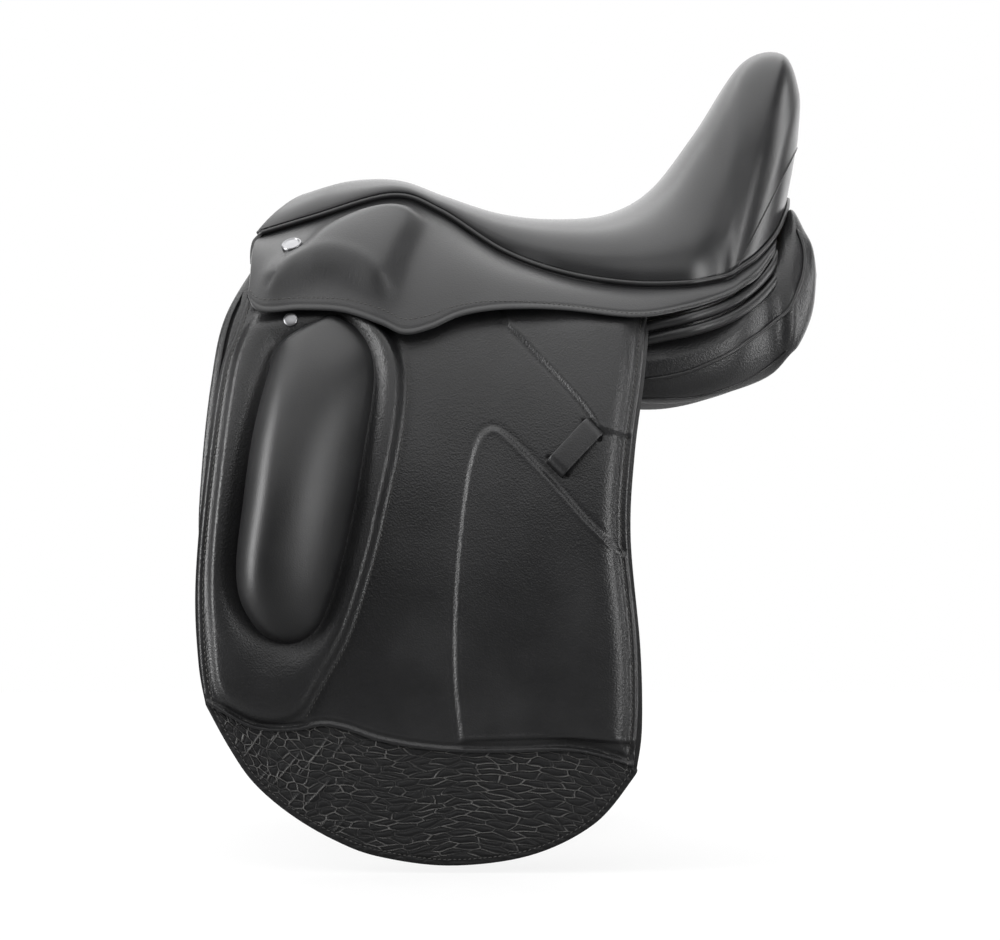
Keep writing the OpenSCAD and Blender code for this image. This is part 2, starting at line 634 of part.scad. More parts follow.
// Heads of the bar's rivets, on the inner side of the tree's board
module bar_rivets(side) {
    inner = -board_in - tree_t - rivet_h - rivet_seat;
    color(steel) on_side(side) on_board(bar_t_place, bar_w_place, inner)
        for (x = rivet_places * bar_len) translate([x, 0, rivet_lean * x])
            cylinder(d = rivet_d, h = rivet_h, $fn = 32);
}
module stirrup_catch(side) {
    color(steel) on_side(side) on_board(bar_t_place, bar_w_place, bar_rest + bar_lift)
        translate([catch_x, 0, 0]) {
            cylinder(d = 2 * catch_pin_d, h = bar_t, $fn = 32);
            translate([0, -catch_pin_d, 0]) cube([bar_len / 2 - catch_x, 2 * catch_pin_d, bar_t]);
        }
}

// Plain round nail that holds the skirt to the head of the tree
nail_t = 1.35;
nail_w = 0.27;
nail_d = 19;
nail_seat = 0.9;
module saddle_nail(side) {
    p = skirt_point(nail_t, nail_w, nail_seat);
    down = skirt_point(nail_t, nail_w + 0.04, 0) - skirt_point(nail_t, nail_w - 0.04, 0);
    back = skirt_point(nail_t + 0.1, nail_w, 0) - skirt_point(nail_t - 0.1, nail_w, 0);
    n = unit(cross(down, back));
    color(steel) on_side(side) translate(p) rotate([0, acos(n[2]), atan2(n[1], n[0])])
        rotate_extrude($fn = 48)
            polygon([[0, 0], [0.47 * nail_d, 0], [0.5 * nail_d, 1], [0.42 * nail_d, 2], [0, 3]]);
}

// Keeper: a strap bridge across the diagonal channel
keeper_at = [59, -56];
keeper_len = 48;
keeper_w = 18;
keeper_t = 3;
keeper_gap = 6.5;
keeper_foot = 9;
module keeper(side) {
    color(leather) on_side(side) on_barrel(keeper_at[0], keeper_at[1], block_in)
        rotate([0, 0, 45]) difference() {
            translate([-keeper_len / 2, -keeper_w / 2, 0])
                cube([keeper_len, keeper_w, keeper_gap + keeper_t]);
            translate([keeper_foot - keeper_len / 2, -keeper_w, -1])
                cube([keeper_len - 2 * keeper_foot, 2 * keeper_w, keeper_gap + 1]);
        }
}
// Small plain stud below the skirt
stud_d = 10;
stud_at = [-167, bend_z + stud_d / 2 + 2];
stud_h = 2;
module flap_stud(side) {
    color(steel) on_side(side) on_barrel(stud_at[0], stud_at[1], flap_out + fit_gap)
        cylinder(d = stud_d, h = stud_h, $fn = 32);
}

tree();
head_plate();
head_plate_rivets();
seat_web();
seat_cross_webs();
seat_foam();
seat();
cantle_cover();
seat_welt();
pommel_facing();
rear_roll_upper();
rear_roll_lower();
for (s = SIDES) {
    stirrup_bar(s);
    bar_rivets(s);
    stirrup_catch(s);
    girth_web(s);
    girth_strap(s, 0);
    girth_strap(s, 1);
    panel(s);
    panel_welt(s);
    sweat_flap(s);
    skirt_band(s);
    skirt(s);
    saddle_nail(s);
    flap_head(s);
    flap(s);
    flap_cover(s);
    thigh_block(s);
    keeper(s);
    flap_stud(s);
}
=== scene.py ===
# %% [markdown]
# # A black dressage saddle
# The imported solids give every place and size. This lesson dresses them: each leather piece is
# laid on the same surfaces as its solid, gets its padding, seams and rolled edges, and takes a
# leather that is made of nodes alone.

# %% Load the frame
import math
import bpy
import numpy as np
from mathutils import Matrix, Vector, kdtree


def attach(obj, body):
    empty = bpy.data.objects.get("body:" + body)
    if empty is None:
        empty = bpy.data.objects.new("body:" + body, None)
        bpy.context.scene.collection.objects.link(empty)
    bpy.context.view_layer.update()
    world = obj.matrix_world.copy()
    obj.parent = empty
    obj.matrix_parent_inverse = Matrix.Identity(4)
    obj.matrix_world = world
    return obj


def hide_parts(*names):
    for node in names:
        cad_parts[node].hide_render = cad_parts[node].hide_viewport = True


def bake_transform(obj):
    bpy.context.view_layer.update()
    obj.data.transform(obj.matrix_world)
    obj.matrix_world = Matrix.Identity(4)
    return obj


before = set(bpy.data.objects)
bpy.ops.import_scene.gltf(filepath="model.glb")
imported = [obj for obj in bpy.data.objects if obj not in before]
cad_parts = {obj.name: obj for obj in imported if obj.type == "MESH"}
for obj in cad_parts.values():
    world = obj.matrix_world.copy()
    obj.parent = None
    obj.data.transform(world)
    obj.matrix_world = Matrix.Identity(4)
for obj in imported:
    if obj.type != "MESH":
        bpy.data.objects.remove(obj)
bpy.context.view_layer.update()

# %% [markdown]
# ## Curves and numbers
# All shapes are worked out in millimetres and become metres when a mesh is written. A smooth
# curve through a few points is a Catmull-Rom spline, the same one that the solids use. Padding is
# a height that depends on the distance to a seam, so we need distances to lines and outlines.

# %% Curves
MM = 0.001
SIDES = {"left": 1, "right": -1}


def lerp(a, b, t):
    return a + (b - a) * t


def smooth(t):
    c = np.clip(t, 0, 1)
    return c * c * (3 - 2 * c)


def swell(t):
    """Rises round like the edge of a pad, from 0 to 1."""
    return np.sqrt(np.maximum(0, 1 - (1 - np.clip(t, 0, 1)) ** 2))


def hermite(a, b, c, d, f):
    """The part f of the way from b to c, on a curve that also knows the points before and after."""
    m0, m1 = (c - a) / 2, (d - b) / 2
    return ((2 * f**3 - 3 * f**2 + 1) * b + (f**3 - 2 * f**2 + f) * m0
            + (3 * f**2 - 2 * f**3) * c + (f**3 - f**2) * m1)


def spline(points, t):
    p, t = np.asarray(points, float), np.asarray(t, float)
    last = len(p) - 1
    i = np.clip(np.floor(t).astype(int), 0, last - 1)
    f = (t - i).reshape(t.shape + (1,) * (p.ndim - 1))
    return hermite(p[np.maximum(i - 1, 0)], p[i], p[i + 1], p[np.minimum(i + 2, last)], f)


def walk(points):
    """How far it is along a row of points to each of them."""
    return np.r_[0, np.cumsum(np.linalg.norm(np.diff(points, axis=0), axis=1))]


def at_stops(stops, walked, values):
    return np.stack([np.interp(stops, walked, column) for column in values.T], 1)


def evenly(points, count):
    """Points at equal distances along the spline through some points."""
    fine = spline(points, np.linspace(0, len(points) - 1, 24 * len(points)))
    walked = walk(fine)
    return at_stops(np.linspace(0, walked[-1], count), walked, fine)


# %% [markdown]
# Places on a flap are pairs of x and z. A pad needs to know how far a place lies from a seam, or
# how deep inside an outline; a blurred outline gives the soft change of a bump under leather.

# %% Distances
def distance_to(places, line):
    """Distance of each place (x, z) to a bent line."""
    best = np.full(places.shape[:-1], 1e9)
    for a, b in zip(line[:-1], line[1:]):
        d = b - a
        t = np.clip(((places - a) @ d) / max(d @ d, 1e-9), 0, 1)
        best = np.minimum(best, np.linalg.norm(places - a - t[..., None] * d, axis=-1))
    return best


def inside_by(places, outline):
    """Distance inside a closed outline; negative outside of it."""
    x, z = places[..., 0], places[..., 1]
    inside = np.zeros(x.shape, bool)
    for a, b in zip(outline, np.roll(outline, -1, 0)):
        if a[1] != b[1]:
            inside ^= ((a[1] > z) != (b[1] > z)) & (x < (b[0] - a[0]) * (z - a[1]) / (b[1] - a[1]) + a[0])
    return distance_to(places, np.vstack([outline, outline[:1]])) * np.where(inside, 1, -1)


def soft_field(outline, blur, step=1.0):
    """A function of places: 1 inside an outline and 0 outside, with a soft change between them."""
    low, high = outline.min(0) - 4 * blur, outline.max(0) + 4 * blur
    size = np.ceil((high - low) / step).astype(int) + 2
    grid = np.stack(np.meshgrid(*(low[k] + step * np.arange(size[k]) for k in (0, 1)), indexing="ij"), -1)
    field = np.clip(inside_by(grid, outline) / step + 0.5, 0, 1)
    reach = int(3 * blur / step)
    bell = np.exp(-0.5 * (np.arange(-reach, reach + 1) * step / blur) ** 2)
    for k in (0, 1):
        field = np.apply_along_axis(lambda row: np.convolve(row, bell / bell.sum(), "same"), k, field)

    def at(places):
        f = np.clip((places - low) / step, 0, size - 1.001)
        i = f.astype(int)
        u, v = f[..., 0] - i[..., 0], f[..., 1] - i[..., 1]
        a, b = i[..., 0], i[..., 1]
        return (field[a, b] * (1 - u) * (1 - v) + field[a + 1, b] * u * (1 - v)
                + field[a, b + 1] * (1 - u) * v + field[a + 1, b + 1] * u * v)
    return at


def normals_of(points):
    """Normals of a grid on the left side, pointing away from the horse."""
    across, down = np.gradient(points, axis=1), np.gradient(points, axis=0)
    n = np.cross(across, down)
    n /= np.maximum(np.linalg.norm(n, axis=-1, keepdims=True), 1e-9)
    return n * np.sign(np.mean(-n[..., 1]))


def to_side(points, side):
    return np.asarray(points, float) * [1, SIDES[side], 1]


# %% [markdown]
# ## The horse and the layers on it
# The flaps hang round the horse's barrel, so every flap layer is the barrel's side moved outwards
# by a depth. The seat is a row of cross sections, and the skirt spans from the seat's piping to
# its own lower edge.

# %% Surfaces shared with the solids
def barrel(z):
    return 196 * (1 - (np.abs(z + 400) / 530) ** 2.5) ** 0.4


def barrel_out(z):
    n = np.stack([np.full(np.shape(z), 2.0), barrel(z - 1) - barrel(z + 1)], -1)
    return n / np.linalg.norm(n, axis=-1, keepdims=True)


def beside(x, z, depth):
    """Points of the left side that lie a depth outside the barrel."""
    x, z, depth = np.broadcast_arrays(np.asarray(x, float), z, depth)
    n = barrel_out(z)
    return np.stack([x, -barrel(z) - depth * n[..., 0], z + depth * n[..., 1]], -1)


def layer_width(z, depth):
    n = barrel_out(z - 0.6 * depth)
    return barrel(z - depth * n[..., 1]) + depth * n[..., 0]


seat_low, cantle_rise, pommel_rise, half_seat = 153, 144, 35, 125
seat_rows = np.array([
    [-150, 0.72, -200, 0.46, -16, 1, 1.15], [-118, 0.97, -156, 0.48, -3, 0.7, 1.3],
    [-84, 0.94, -90, 0.5, 15, 0.5, 1.6], [-45, 0.54, -50, 0.54, 2, 0.45, 2],
    [0, 0.14, 2, 0.66, -32, 0.45, 2], [45, 0, 52, 0.84, -52, 0.45, 2],
    [90, 0.03, 105, 0.99, -62, 0.48, 2], [128, 0.18, 150, 1, -62, 0.55, 2],
    [165, 0.51, 178, 0.92, -57, 0.72, 2], [206, 0.93, 187, 0.88, -54, 0.9, 2],
    [241, 0.985, 192, 0.86, -51, 0.98, 2], [255, 0.8, 196, 0.84, -48, 1, 2]])
rise = np.where(np.arange(12) < 5, pommel_rise, cantle_rise)
seat_table = np.stack([seat_rows[:, 0], seat_low + seat_rows[:, 1] * rise, seat_rows[:, 2],
                       seat_rows[:, 3] * half_seat, seat_low + seat_rows[:, 4],
                       seat_rows[:, 5], seat_rows[:, 6]], 1)
welt_back = np.array([[212, -90, 117], [229, -65, 136], [241, -32.5, 158], [246, 0, 171]])
welt_line = np.vstack([seat_table[:, [2, 3, 4]] * [1, -1, 1], welt_back])
SEAT_END, WELT_END, WELT_LIFT = 11, 15, 3.2


def seat_point(t, q):
    t, q = np.broadcast_arrays(np.asarray(t, float), q)
    s, w = spline(seat_table, t), np.sin(np.pi / 2 * np.minimum(1, np.abs(q)))
    h = np.maximum(0, 1 - w**2.2) ** s[..., 5]
    low = s[..., 4] + WELT_LIFT * (1 + 0.6 * smooth(t - 8) + 0.1 * smooth(1 - t))
    return np.stack([lerp(s[..., 0], s[..., 2], w ** s[..., 6]), np.sign(q) * s[..., 3] * w,
                     lerp(low, s[..., 1], h)], -1)


def seat_layer(t, q, depth):
    """A grid under the seat, rows along t and columns along q."""
    tt, qq = np.meshgrid(t, q, indexing="ij")
    e = 0.02
    along = seat_point(np.minimum(SEAT_END, tt + e), qq) - seat_point(np.maximum(0, tt - e), qq)
    across = seat_point(tt, np.minimum(1, qq + e)) - seat_point(tt, np.maximum(-1, qq - e))
    n = np.cross(along, across)
    n /= np.maximum(np.linalg.norm(n, axis=-1, keepdims=True), 1e-9)
    return seat_point(tt, qq) - depth * n


SWEAT, FLAP_OUT, COVER_IN, SKIRT_DEPTH = 3.5, 15.5, 15.8, 30.5
COVER_HIDE = 2.2
NAIL_PLACE, NAIL_SEAT = np.array([-169.5, 122.5]), 15
skirt_rows = np.array([
    [0.02, -206, 90, 0], [0.5, -192, 67, 0], [1, -160, 68, 0], [1.5, -125, 66, 0], [2, -95, 56, 0],
    [2.4, -76, 48, 0], [2.8, -56, 52, 0], [3.3, -34, 62, 0], [3.72, -12, 67, 0], [4.3, 15, 69, 0],
    [5, 52, 68, 0], [6, 108, 62, 0], [7, 150, 69, 143], [8.4, 182, 80, 130], [11, 198, 89, 120],
    [12, 211, 98, 105], [13, 227, 119, 79]])
skirt_half = np.where(skirt_rows[:, 3] == 0, layer_width(skirt_rows[:, 2], SKIRT_DEPTH), skirt_rows[:, 3])
side_low = np.stack([skirt_rows[:, 1], -skirt_half, skirt_rows[:, 2]], 1)
SKIRT_END, SKIRT_CUT = 16, 8


def side_point(t, w, depth):
    """The saddle's side: t along it, w from the piping to the skirt's lower edge."""
    t, w, depth = np.broadcast_arrays(np.asarray(t, float), w, depth)
    a, b = spline(welt_line, spline(skirt_rows[:, 0], t)), spline(side_low, t)
    n = np.cross(b - a, [1.0, 0, 0])
    n /= np.linalg.norm(n, axis=-1, keepdims=True)
    a = a - [0, 0, WELT_LIFT + 0.3]
    return lerp(a, b, w[..., None]) + depth[..., None] * n


print("seat top", seat_point(5, 0), "skirt edge", side_low[5])

# %% [markdown]
# ## How a leather piece is made
# A sheet of leather starts as Blender's grid primitive. Its vertices are laid on a surface, then
# Solidify gives it the thickness of the hide and Bevel rounds the cut edge. That is quicker than
# modelling each fold by hand, and the edge catches the light as a real one does.

# %% Sheets
def apply_modifier(obj, kind, **settings):
    m = obj.modifiers.new(kind.title(), kind)
    for key, value in settings.items():
        setattr(m, key, value)
    bpy.context.view_layer.objects.active = obj
    bpy.ops.object.modifier_apply(modifier=m.name)


def select_only(obj):
    bpy.ops.object.select_all(action="DESELECT")
    obj.select_set(True)
    bpy.context.view_layer.objects.active = obj


def in_edit_mode(obj, *steps):
    select_only(obj)
    bpy.ops.object.mode_set(mode="EDIT")
    bpy.ops.mesh.select_all(action="SELECT")
    for step in steps:
        step()
    bpy.ops.object.mode_set(mode="OBJECT")


def laid_grid(name, points, out):
    """A grid primitive with its vertices on the points, its faces towards out."""
    rows, cols = points.shape[:2]
    bpy.ops.object.select_all(action="DESELECT")
    bpy.ops.mesh.primitive_grid_add(x_subdivisions=cols - 1, y_subdivisions=rows - 1, size=2)
    obj = bpy.context.object
    obj.name = obj.data.name = name
    co = np.zeros(len(obj.data.vertices) * 3)
    obj.data.vertices.foreach_get("co", co)
    co = co.reshape(-1, 3)
    j = np.rint((co[:, 0] + 1) / 2 * (cols - 1)).astype(int)
    i = np.rint((co[:, 1] + 1) / 2 * (rows - 1)).astype(int)
    obj.data.vertices.foreach_set("co", (points[i, j] * MM).ravel())
    obj.data.update()
    facing = sum(p.area * p.normal.dot(Vector(out)) for p in obj.data.polygons)
    if facing < 0:
        in_edit_mode(obj, bpy.ops.mesh.flip_normals)
    return obj


def leather_sheet(name, points, thickness, out, edge=0.4):
    obj = laid_grid(name, points, out)
    apply_modifier(obj, "SOLIDIFY", thickness=thickness * MM, offset=-1, use_even_offset=False)
    apply_modifier(obj, "BEVEL", width=edge * thickness * MM, segments=3, limit_method="ANGLE",
                   angle_limit=math.radians(55), use_clamp_overlap=True)
    smooth_faces(obj)
    return obj


def smooth_faces(obj, angle=180):
    select_only(obj)
    if angle == 180:
        bpy.ops.object.shade_smooth()
    else:
        bpy.ops.object.shade_smooth_by_angle(angle=math.radians(angle))


# %% [markdown]
# Padded panels, pipings and buttons are closed skins through rings of points. A piping is the ring
# of a round cord, carried along a path.

# %% Skins and pipings
def skin_mesh(name, points, faces):
    mesh = bpy.data.meshes.new(name)
    mesh.from_pydata((points.reshape(-1, 3) * MM).tolist(), [], faces)
    obj = bpy.data.objects.new(name, mesh)
    bpy.context.scene.collection.objects.link(obj)
    in_edit_mode(obj, bpy.ops.mesh.normals_make_consistent)
    smooth_faces(obj)
    return obj


def closed_skin(name, rings):
    """A skin through closed rings of points, such as a padded panel or a piping."""
    rings = np.asarray(rings, float)
    r, c = rings.shape[:2]
    faces = [(i * c + j, i * c + (j + 1) % c, (i + 1) * c + (j + 1) % c, (i + 1) * c + j)
             for i in range(r - 1) for j in range(c)]
    faces += [tuple(range(c - 1, -1, -1)), tuple((r - 1) * c + j for j in range(c))]
    return skin_mesh(name, rings, faces)


def piping(name, path, radius, sides=12):
    """A round cord sewn into leather, along a path of points."""
    path = np.asarray(path, float)
    ahead = np.gradient(path, axis=0)
    ahead /= np.linalg.norm(ahead, axis=1, keepdims=True)
    u = np.cross(ahead, [0, 0, 1.0])
    u /= np.maximum(np.linalg.norm(u, axis=1, keepdims=True), 1e-6)
    v = np.cross(u, ahead)
    a = np.linspace(0, 2 * np.pi, sides, endpoint=False)
    ends = np.ones(len(path))
    ends[[0, -1]] = 0.55
    ring = np.cos(a)[None, :, None] * u[:, None] + np.sin(a)[None, :, None] * v[:, None]
    return closed_skin(name, path[:, None] + radius * ends[:, None, None] * ring)


# %% [markdown]
# A seam is one stitch copied along a path. Each copy lies on the leather and is turned a little
# across the seam, as saddler's stitches are.

# %% Stitches
def one_stitch():
    """The stitch that all seams copy: a small sphere primitive drawn out to a grain of thread."""
    bpy.ops.object.select_all(action="DESELECT")
    bpy.ops.mesh.primitive_uv_sphere_add(segments=6, ring_count=5, radius=1)
    obj = bpy.context.object
    co = np.array([v.co for v in obj.data.vertices])
    faces = [tuple(p.vertices) for p in obj.data.polygons]
    bpy.data.objects.remove(obj)
    return co, faces


STITCH, STITCH_FACES = one_stitch()
print("one stitch", len(STITCH_FACES), "faces")


def stitches(name, path, normals, pitch=3.9, length=2.7, thick=0.85):
    """Copies of the stitch along a path, lying on a surface with these normals."""
    path, normals = np.asarray(path, float), np.asarray(normals, float)
    walked = walk(path)
    stops = np.arange(pitch / 2, walked[-1], pitch)
    at, up, ahead = (at_stops(stops, walked, v) for v in (path, normals, np.gradient(path, axis=0)))
    up /= np.linalg.norm(up, axis=1, keepdims=True)
    ahead -= up * np.sum(ahead * up, 1, keepdims=True)
    ahead /= np.linalg.norm(ahead, axis=1, keepdims=True)
    across = np.cross(up, ahead)
    size = np.array([length / 2, thick / 2, thick / 2])
    ahead = ahead * math.cos(0.16) + across * math.sin(0.16)
    across = np.cross(up, ahead)
    co = (at[:, None] + STITCH[None, :, 2:3] * size[0] * ahead[:, None]
          + STITCH[None, :, 0:1] * size[1] * across[:, None] + STITCH[None, :, 1:2] * size[2] * up[:, None])
    n = len(STITCH)
    faces = [tuple(v + k * n for v in f) for k in range(len(at)) for f in STITCH_FACES]
    return skin_mesh(name, co, faces)


# %% [markdown]
# ## Materials
# Shader maths is written as Python: a Socket wraps an output, and each operator adds a Math node.
# Any other node comes from Nodes.add, which takes its settings first and then its inputs.

# %% Shader helpers
class Socket:
    def __init__(self, nodes, out):
        self.nodes, self.out = nodes, out

    def math(self, kind, a, b=None):
        return self.nodes.add("ShaderNodeMath", {"operation": kind}, {0: a, 1: b})

    def __add__(self, o): return self.math("ADD", self, o)
    def __radd__(self, o): return self.math("ADD", o, self)
    def __sub__(self, o): return self.math("SUBTRACT", self, o)
    def __rsub__(self, o): return self.math("SUBTRACT", o, self)
    def __mul__(self, o): return self.math("MULTIPLY", self, o)
    def __rmul__(self, o): return self.math("MULTIPLY", o, self)


class Nodes:
    def __init__(self, name):
        self.material = bpy.data.materials.new(name)
        self.material.use_nodes = True
        self.tree = self.material.node_tree
        self.shader = self.tree.nodes["Principled BSDF"]

    def add(self, kind, settings=None, inputs=None, out=0):
        node = self.tree.nodes.new(kind)
        for key, value in (settings or {}).items():
            if key == "stops":
                for e, (place, shade) in zip(node.color_ramp.elements, value):
                    e.position, e.color = place, shade
            else:
                setattr(node, key, value)
        for key, value in (inputs or {}).items():
            if value is not None:
                self.feed(node.inputs[key], value)
        return Socket(self, node.outputs[out])

    def feed(self, socket, value):
        if isinstance(value, Socket):
            self.tree.links.new(value.out, socket)
        else:
            socket.default_value = value

    def set(self, **inputs):
        for key, value in inputs.items():
            self.feed(self.shader.inputs[key.replace("_", " ")], value)

    def place(self, scale=(1, 1, 1)):
        where = self.add("ShaderNodeTexCoord", out="Object")
        return self.add("ShaderNodeMapping", {}, {"Vector": where, "Scale": scale})

    def noise(self, where, scale, detail=3, rough=0.5):
        return self.add("ShaderNodeTexNoise", {}, {"Vector": where, "Scale": scale, "Detail": detail,
                                                    "Roughness": rough})

    def cells(self, where, scale, feature="F1"):
        return self.add("ShaderNodeTexVoronoi", {"feature": feature}, {"Vector": where, "Scale": scale},
                        "Distance")

    def ramp(self, value, low, high):
        return self.add("ShaderNodeMapRange", {"interpolation_type": "SMOOTHSTEP"},
                        {"Value": value, "From Min": low, "From Max": high})

    def mix(self, share, a, b):
        return self.add("ShaderNodeMix", {"data_type": "RGBA"}, {0: share, 6: a, 7: b}, 2)

    def bump(self, height, strength, distance):
        return self.add("ShaderNodeBump", {}, {"Height": height, "Strength": strength, "Distance": distance})


# %% [markdown]
# ### Black leather
# Hide is a pebble of small cells with finer pores between them, a little duller in the valleys and
# a little glossier where it is rubbed. The seat and the pads are stretched smooth, so their grain
# is shallow; the flap's middle keeps its full pebble.

# %% Leathers
def leather(name, colour=0.010, rough=0.38, grain=0.25, size=900.0, crease=0.0):
    n = Nodes(name)
    where = n.place()
    wander = n.noise(where, 14.0, 3)
    pebble = n.cells(where, size, "SMOOTH_F1")
    pores = n.noise(where, size * 2.2, 2, 0.6)
    folds = n.noise(n.place((1.0, 1.0, 2.6)), size * 0.16, 4, 0.62)
    height = pebble + pores * 0.3 + folds * crease
    worn = n.ramp(wander, 0.35, 0.75)
    fresh, rubbed = np.array([1, 1, 1.08]) * colour, np.array([1.9, 1.9, 2.0]) * colour
    n.set(Base_Color=n.mix(worn, (*fresh, 1), (*rubbed, 1)),
          Roughness=rough + (wander - 0.5) * 0.16 + (pebble - 0.4) * 0.08,
          Normal=n.bump(height, grain, 0.0009))
    n.set(IOR=1.5)
    return n.material


seat_hide = leather("seat_hide", 0.008, 0.33, 0.07, 1000)
pad_hide = leather("pad_hide", 0.007, 0.40, 0.08, 900)
block_hide = leather("block_hide", 0.006, 0.41, 0.08, 900)
flap_hide = leather("flap_hide", 0.007, 0.38, 0.3, 740, 0.2)
skirt_hide = leather("skirt_hide", 0.008, 0.43, 0.12, 800)
panel_hide = leather("panel_hide", 0.008, 0.38, 0.3, 700, 0.5)
strap_hide = leather("strap_hide", 0.008, 0.42, 0.2, 800)
print("leathers", [m.name for m in bpy.data.materials if m.name.endswith("hide")])


# %% [markdown]
# ### Thread, trim, metal and hidden materials
# The trim's colour is lighter along the cracks, a painted highlight on the raised lines; its mesh carries
# the cracks as an attribute. The tree's wood is stained dark, because it shows a little in the arch at
# the front.

# %% Other materials
def thread():
    n = Nodes("black_thread")
    twist = n.noise(n.place(), 2600.0, 2)
    n.set(Base_Color=n.mix(twist, (0.02, 0.02, 0.02, 1), (0.075, 0.072, 0.068, 1)),
          Roughness=0.5 + twist * 0.2, Normal=n.bump(twist, 0.4, 0.0004))
    return n.material


def trim_hide():
    n = Nodes("crackle_hide")
    where = n.place()
    crease = n.add("ShaderNodeAttribute", {"attribute_name": "crease"}, out="Fac")
    pores = n.noise(where, 1700.0, 3, 0.6)
    wander = n.noise(where, 30.0, 3)
    # Painted highlight: the colour rises from near black in the cells to grey along the raised cracks,
    # standing in for the light these lines catch.
    n.set(Base_Color=n.mix(n.ramp(crease, 0.2, 0.95), (0.004, 0.004, 0.0045, 1), (0.085, 0.083, 0.08, 1)),
          Roughness=0.5 + pores * 0.14 - crease * 0.2 + wander * 0.08, Normal=n.bump(pores, 0.35, 0.0006))
    n.set(Specular_IOR_Level=0.34)
    return n.material


def metal(name, colour, rough):
    n = Nodes(name)
    where = n.place()
    wear = n.noise(where, 260.0, 4)
    scratch = n.noise(n.place((1, 1, 12)), 320.0, 3)
    n.set(Base_Color=n.mix(wear, (*[c * 0.8 for c in colour], 1), (*colour, 1)),
          Roughness=rough + wear * 0.12, Normal=n.bump(scratch, 0.08, 0.0004), Metallic=1.0)
    return n.material


def wood():
    n = Nodes("laminated_beech")
    grain = n.noise(n.place((0.35, 6.0, 14.0)), 22.0, 5, 0.6)
    plies = n.noise(n.place((0.05, 0.05, 5.0)), 90.0, 2)
    streak = n.ramp(grain * 0.6 + plies * 0.4, 0.3, 0.7)
    n.set(Base_Color=n.mix(streak, (0.045, 0.032, 0.022, 1), (0.085, 0.062, 0.042, 1)),
          Roughness=0.5 + grain * 0.2, Normal=n.bump(grain, 0.2, 0.0006))
    return n.material


def web(name, colour):
    n = Nodes(name)
    where = n.place()
    rib = n.add("ShaderNodeTexWave", {"wave_type": "BANDS", "bands_direction": "DIAGONAL"},
                {"Vector": where, "Scale": 260.0, "Distortion": 0.6, "Detail": 2.0})
    fuzz = n.noise(where, 1500.0, 3, 0.7)
    n.set(Base_Color=n.mix(rib * 0.6 + fuzz * 0.4, (*[c * 0.7 for c in colour], 1), (*colour, 1)),
          Roughness=0.75 + fuzz * 0.15, Normal=n.bump(rib + fuzz * 0.5, 0.5, 0.0008))
    return n.material


def foam():
    n = Nodes("seat_foam")
    holes = n.cells(n.place(), 700.0)
    n.set(Base_Color=n.mix(holes, (0.55, 0.48, 0.26, 1), (0.72, 0.64, 0.38, 1)), Roughness=0.8 + holes * 0.15,
          Normal=n.bump(holes, 0.6, 0.001))
    return n.material


black_thread, crackle_hide = thread(), trim_hide()
bright_steel = metal("bright_steel", (0.3, 0.3, 0.31), 0.3)
forged_steel = metal("forged_steel", (0.38, 0.38, 0.40), 0.36)
beech, web_cloth, foam_cells = wood(), web("flax_web", (0.62, 0.56, 0.42)), foam()
print("materials", len(bpy.data.materials))


def dress(obj, material):
    obj.data.materials.clear()
    obj.data.materials.append(material)


# %% [markdown]
# ## Seat
# The deep seat is one smooth hide over foam. It is a fine grid on the same cross sections as the
# solid, so its outline is already the right one, and Solidify gives the hide.

# %% Seat surface
def cantle_grid(q, w):
    """The cantle's back, from the seat's end to the piping."""
    q, w = np.broadcast_arrays(np.asarray(q, float), w)
    top = seat_point(np.full(q.shape, SEAT_END), q)
    low = spline(welt_line, lerp(WELT_END, SEAT_END, np.abs(q)))
    low = low * np.stack([np.ones(q.shape), -np.sign(q), np.ones(q.shape)], -1) + [0, 0, WELT_LIFT]
    belly = 4 * np.sin(np.pi * w) * (1 - np.abs(q))
    return lerp(top, low, w[..., None]) + belly[..., None] * [1, 0, 0]


def wrapped_seat(t, q):
    """The seat, and past its end the cantle's back, as one smooth surface."""
    rows = [*(seat_point(np.full(q.shape, float(k)), q) for k in (8, 9, 10)),
            lerp(seat_point(np.full(q.shape, 11.0), q), cantle_grid(q, np.full(q.shape, 0.12)), 0.4),
            *(cantle_grid(q, np.full(q.shape, w)) for w in (0.42, 0.72, 1.0))]
    bent = np.moveaxis(np.stack(rows), 0, -2)
    past = np.clip(t - 8, 0, 6)
    i = np.clip(np.floor(past).astype(int), 0, 5)
    f = (past - i)[..., None]
    pick = lambda k: np.take_along_axis(bent, np.clip(k, 0, 6)[..., None, None], -2)[..., 0, :]
    curve = hermite(pick(i - 1), pick(i), pick(i + 1), pick(i + 2), f)
    return lerp(seat_point(np.minimum(t, SEAT_END), q), curve, smooth((t - 9) / 1.0)[..., None])


def seam_at(q):
    """Where the seat ends on the cantle's back."""
    return 11 + 1.45 * (1 - np.abs(q) ** 1.6)


# %% [markdown]
# The seat's edge is tucked under the piping by one more column on each side. The back of the cantle
# has two more rows that go in under the piping, so no gap shows from behind.

# %% Seat and cantle meshes
qq, ss = np.meshgrid(np.sin(np.linspace(-1, 1, 131) * np.pi / 2), np.linspace(0, 1, 230), indexing="xy")
seat_points = wrapped_seat(ss * seam_at(qq), qq)
edge_t = np.minimum(ss[:, 0] * 11, 11)
tuck = spline(welt_line, edge_t) + [0, 1.6, -0.6]
seat_points = np.concatenate([tuck[:, None], seat_points, (tuck * [1, -1, 1])[:, None]], 1)
seat = leather_sheet("seat_top", seat_points, 2.5, (0, 0, 1))
dress(seat, seat_hide)
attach(seat, "saddle")
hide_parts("seat")
q = np.linspace(-0.88, 0.88, 45)
rows = np.linspace(11 / 24, 11 * 23 / 24, 70)
cushion = leather_sheet("seat_foam_pad", seat_layer(rows, q, 3.2), 13, (0, 0, 1), 0.15)
dress(cushion, foam_cells)
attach(cushion, "saddle")
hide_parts("seat_foam")

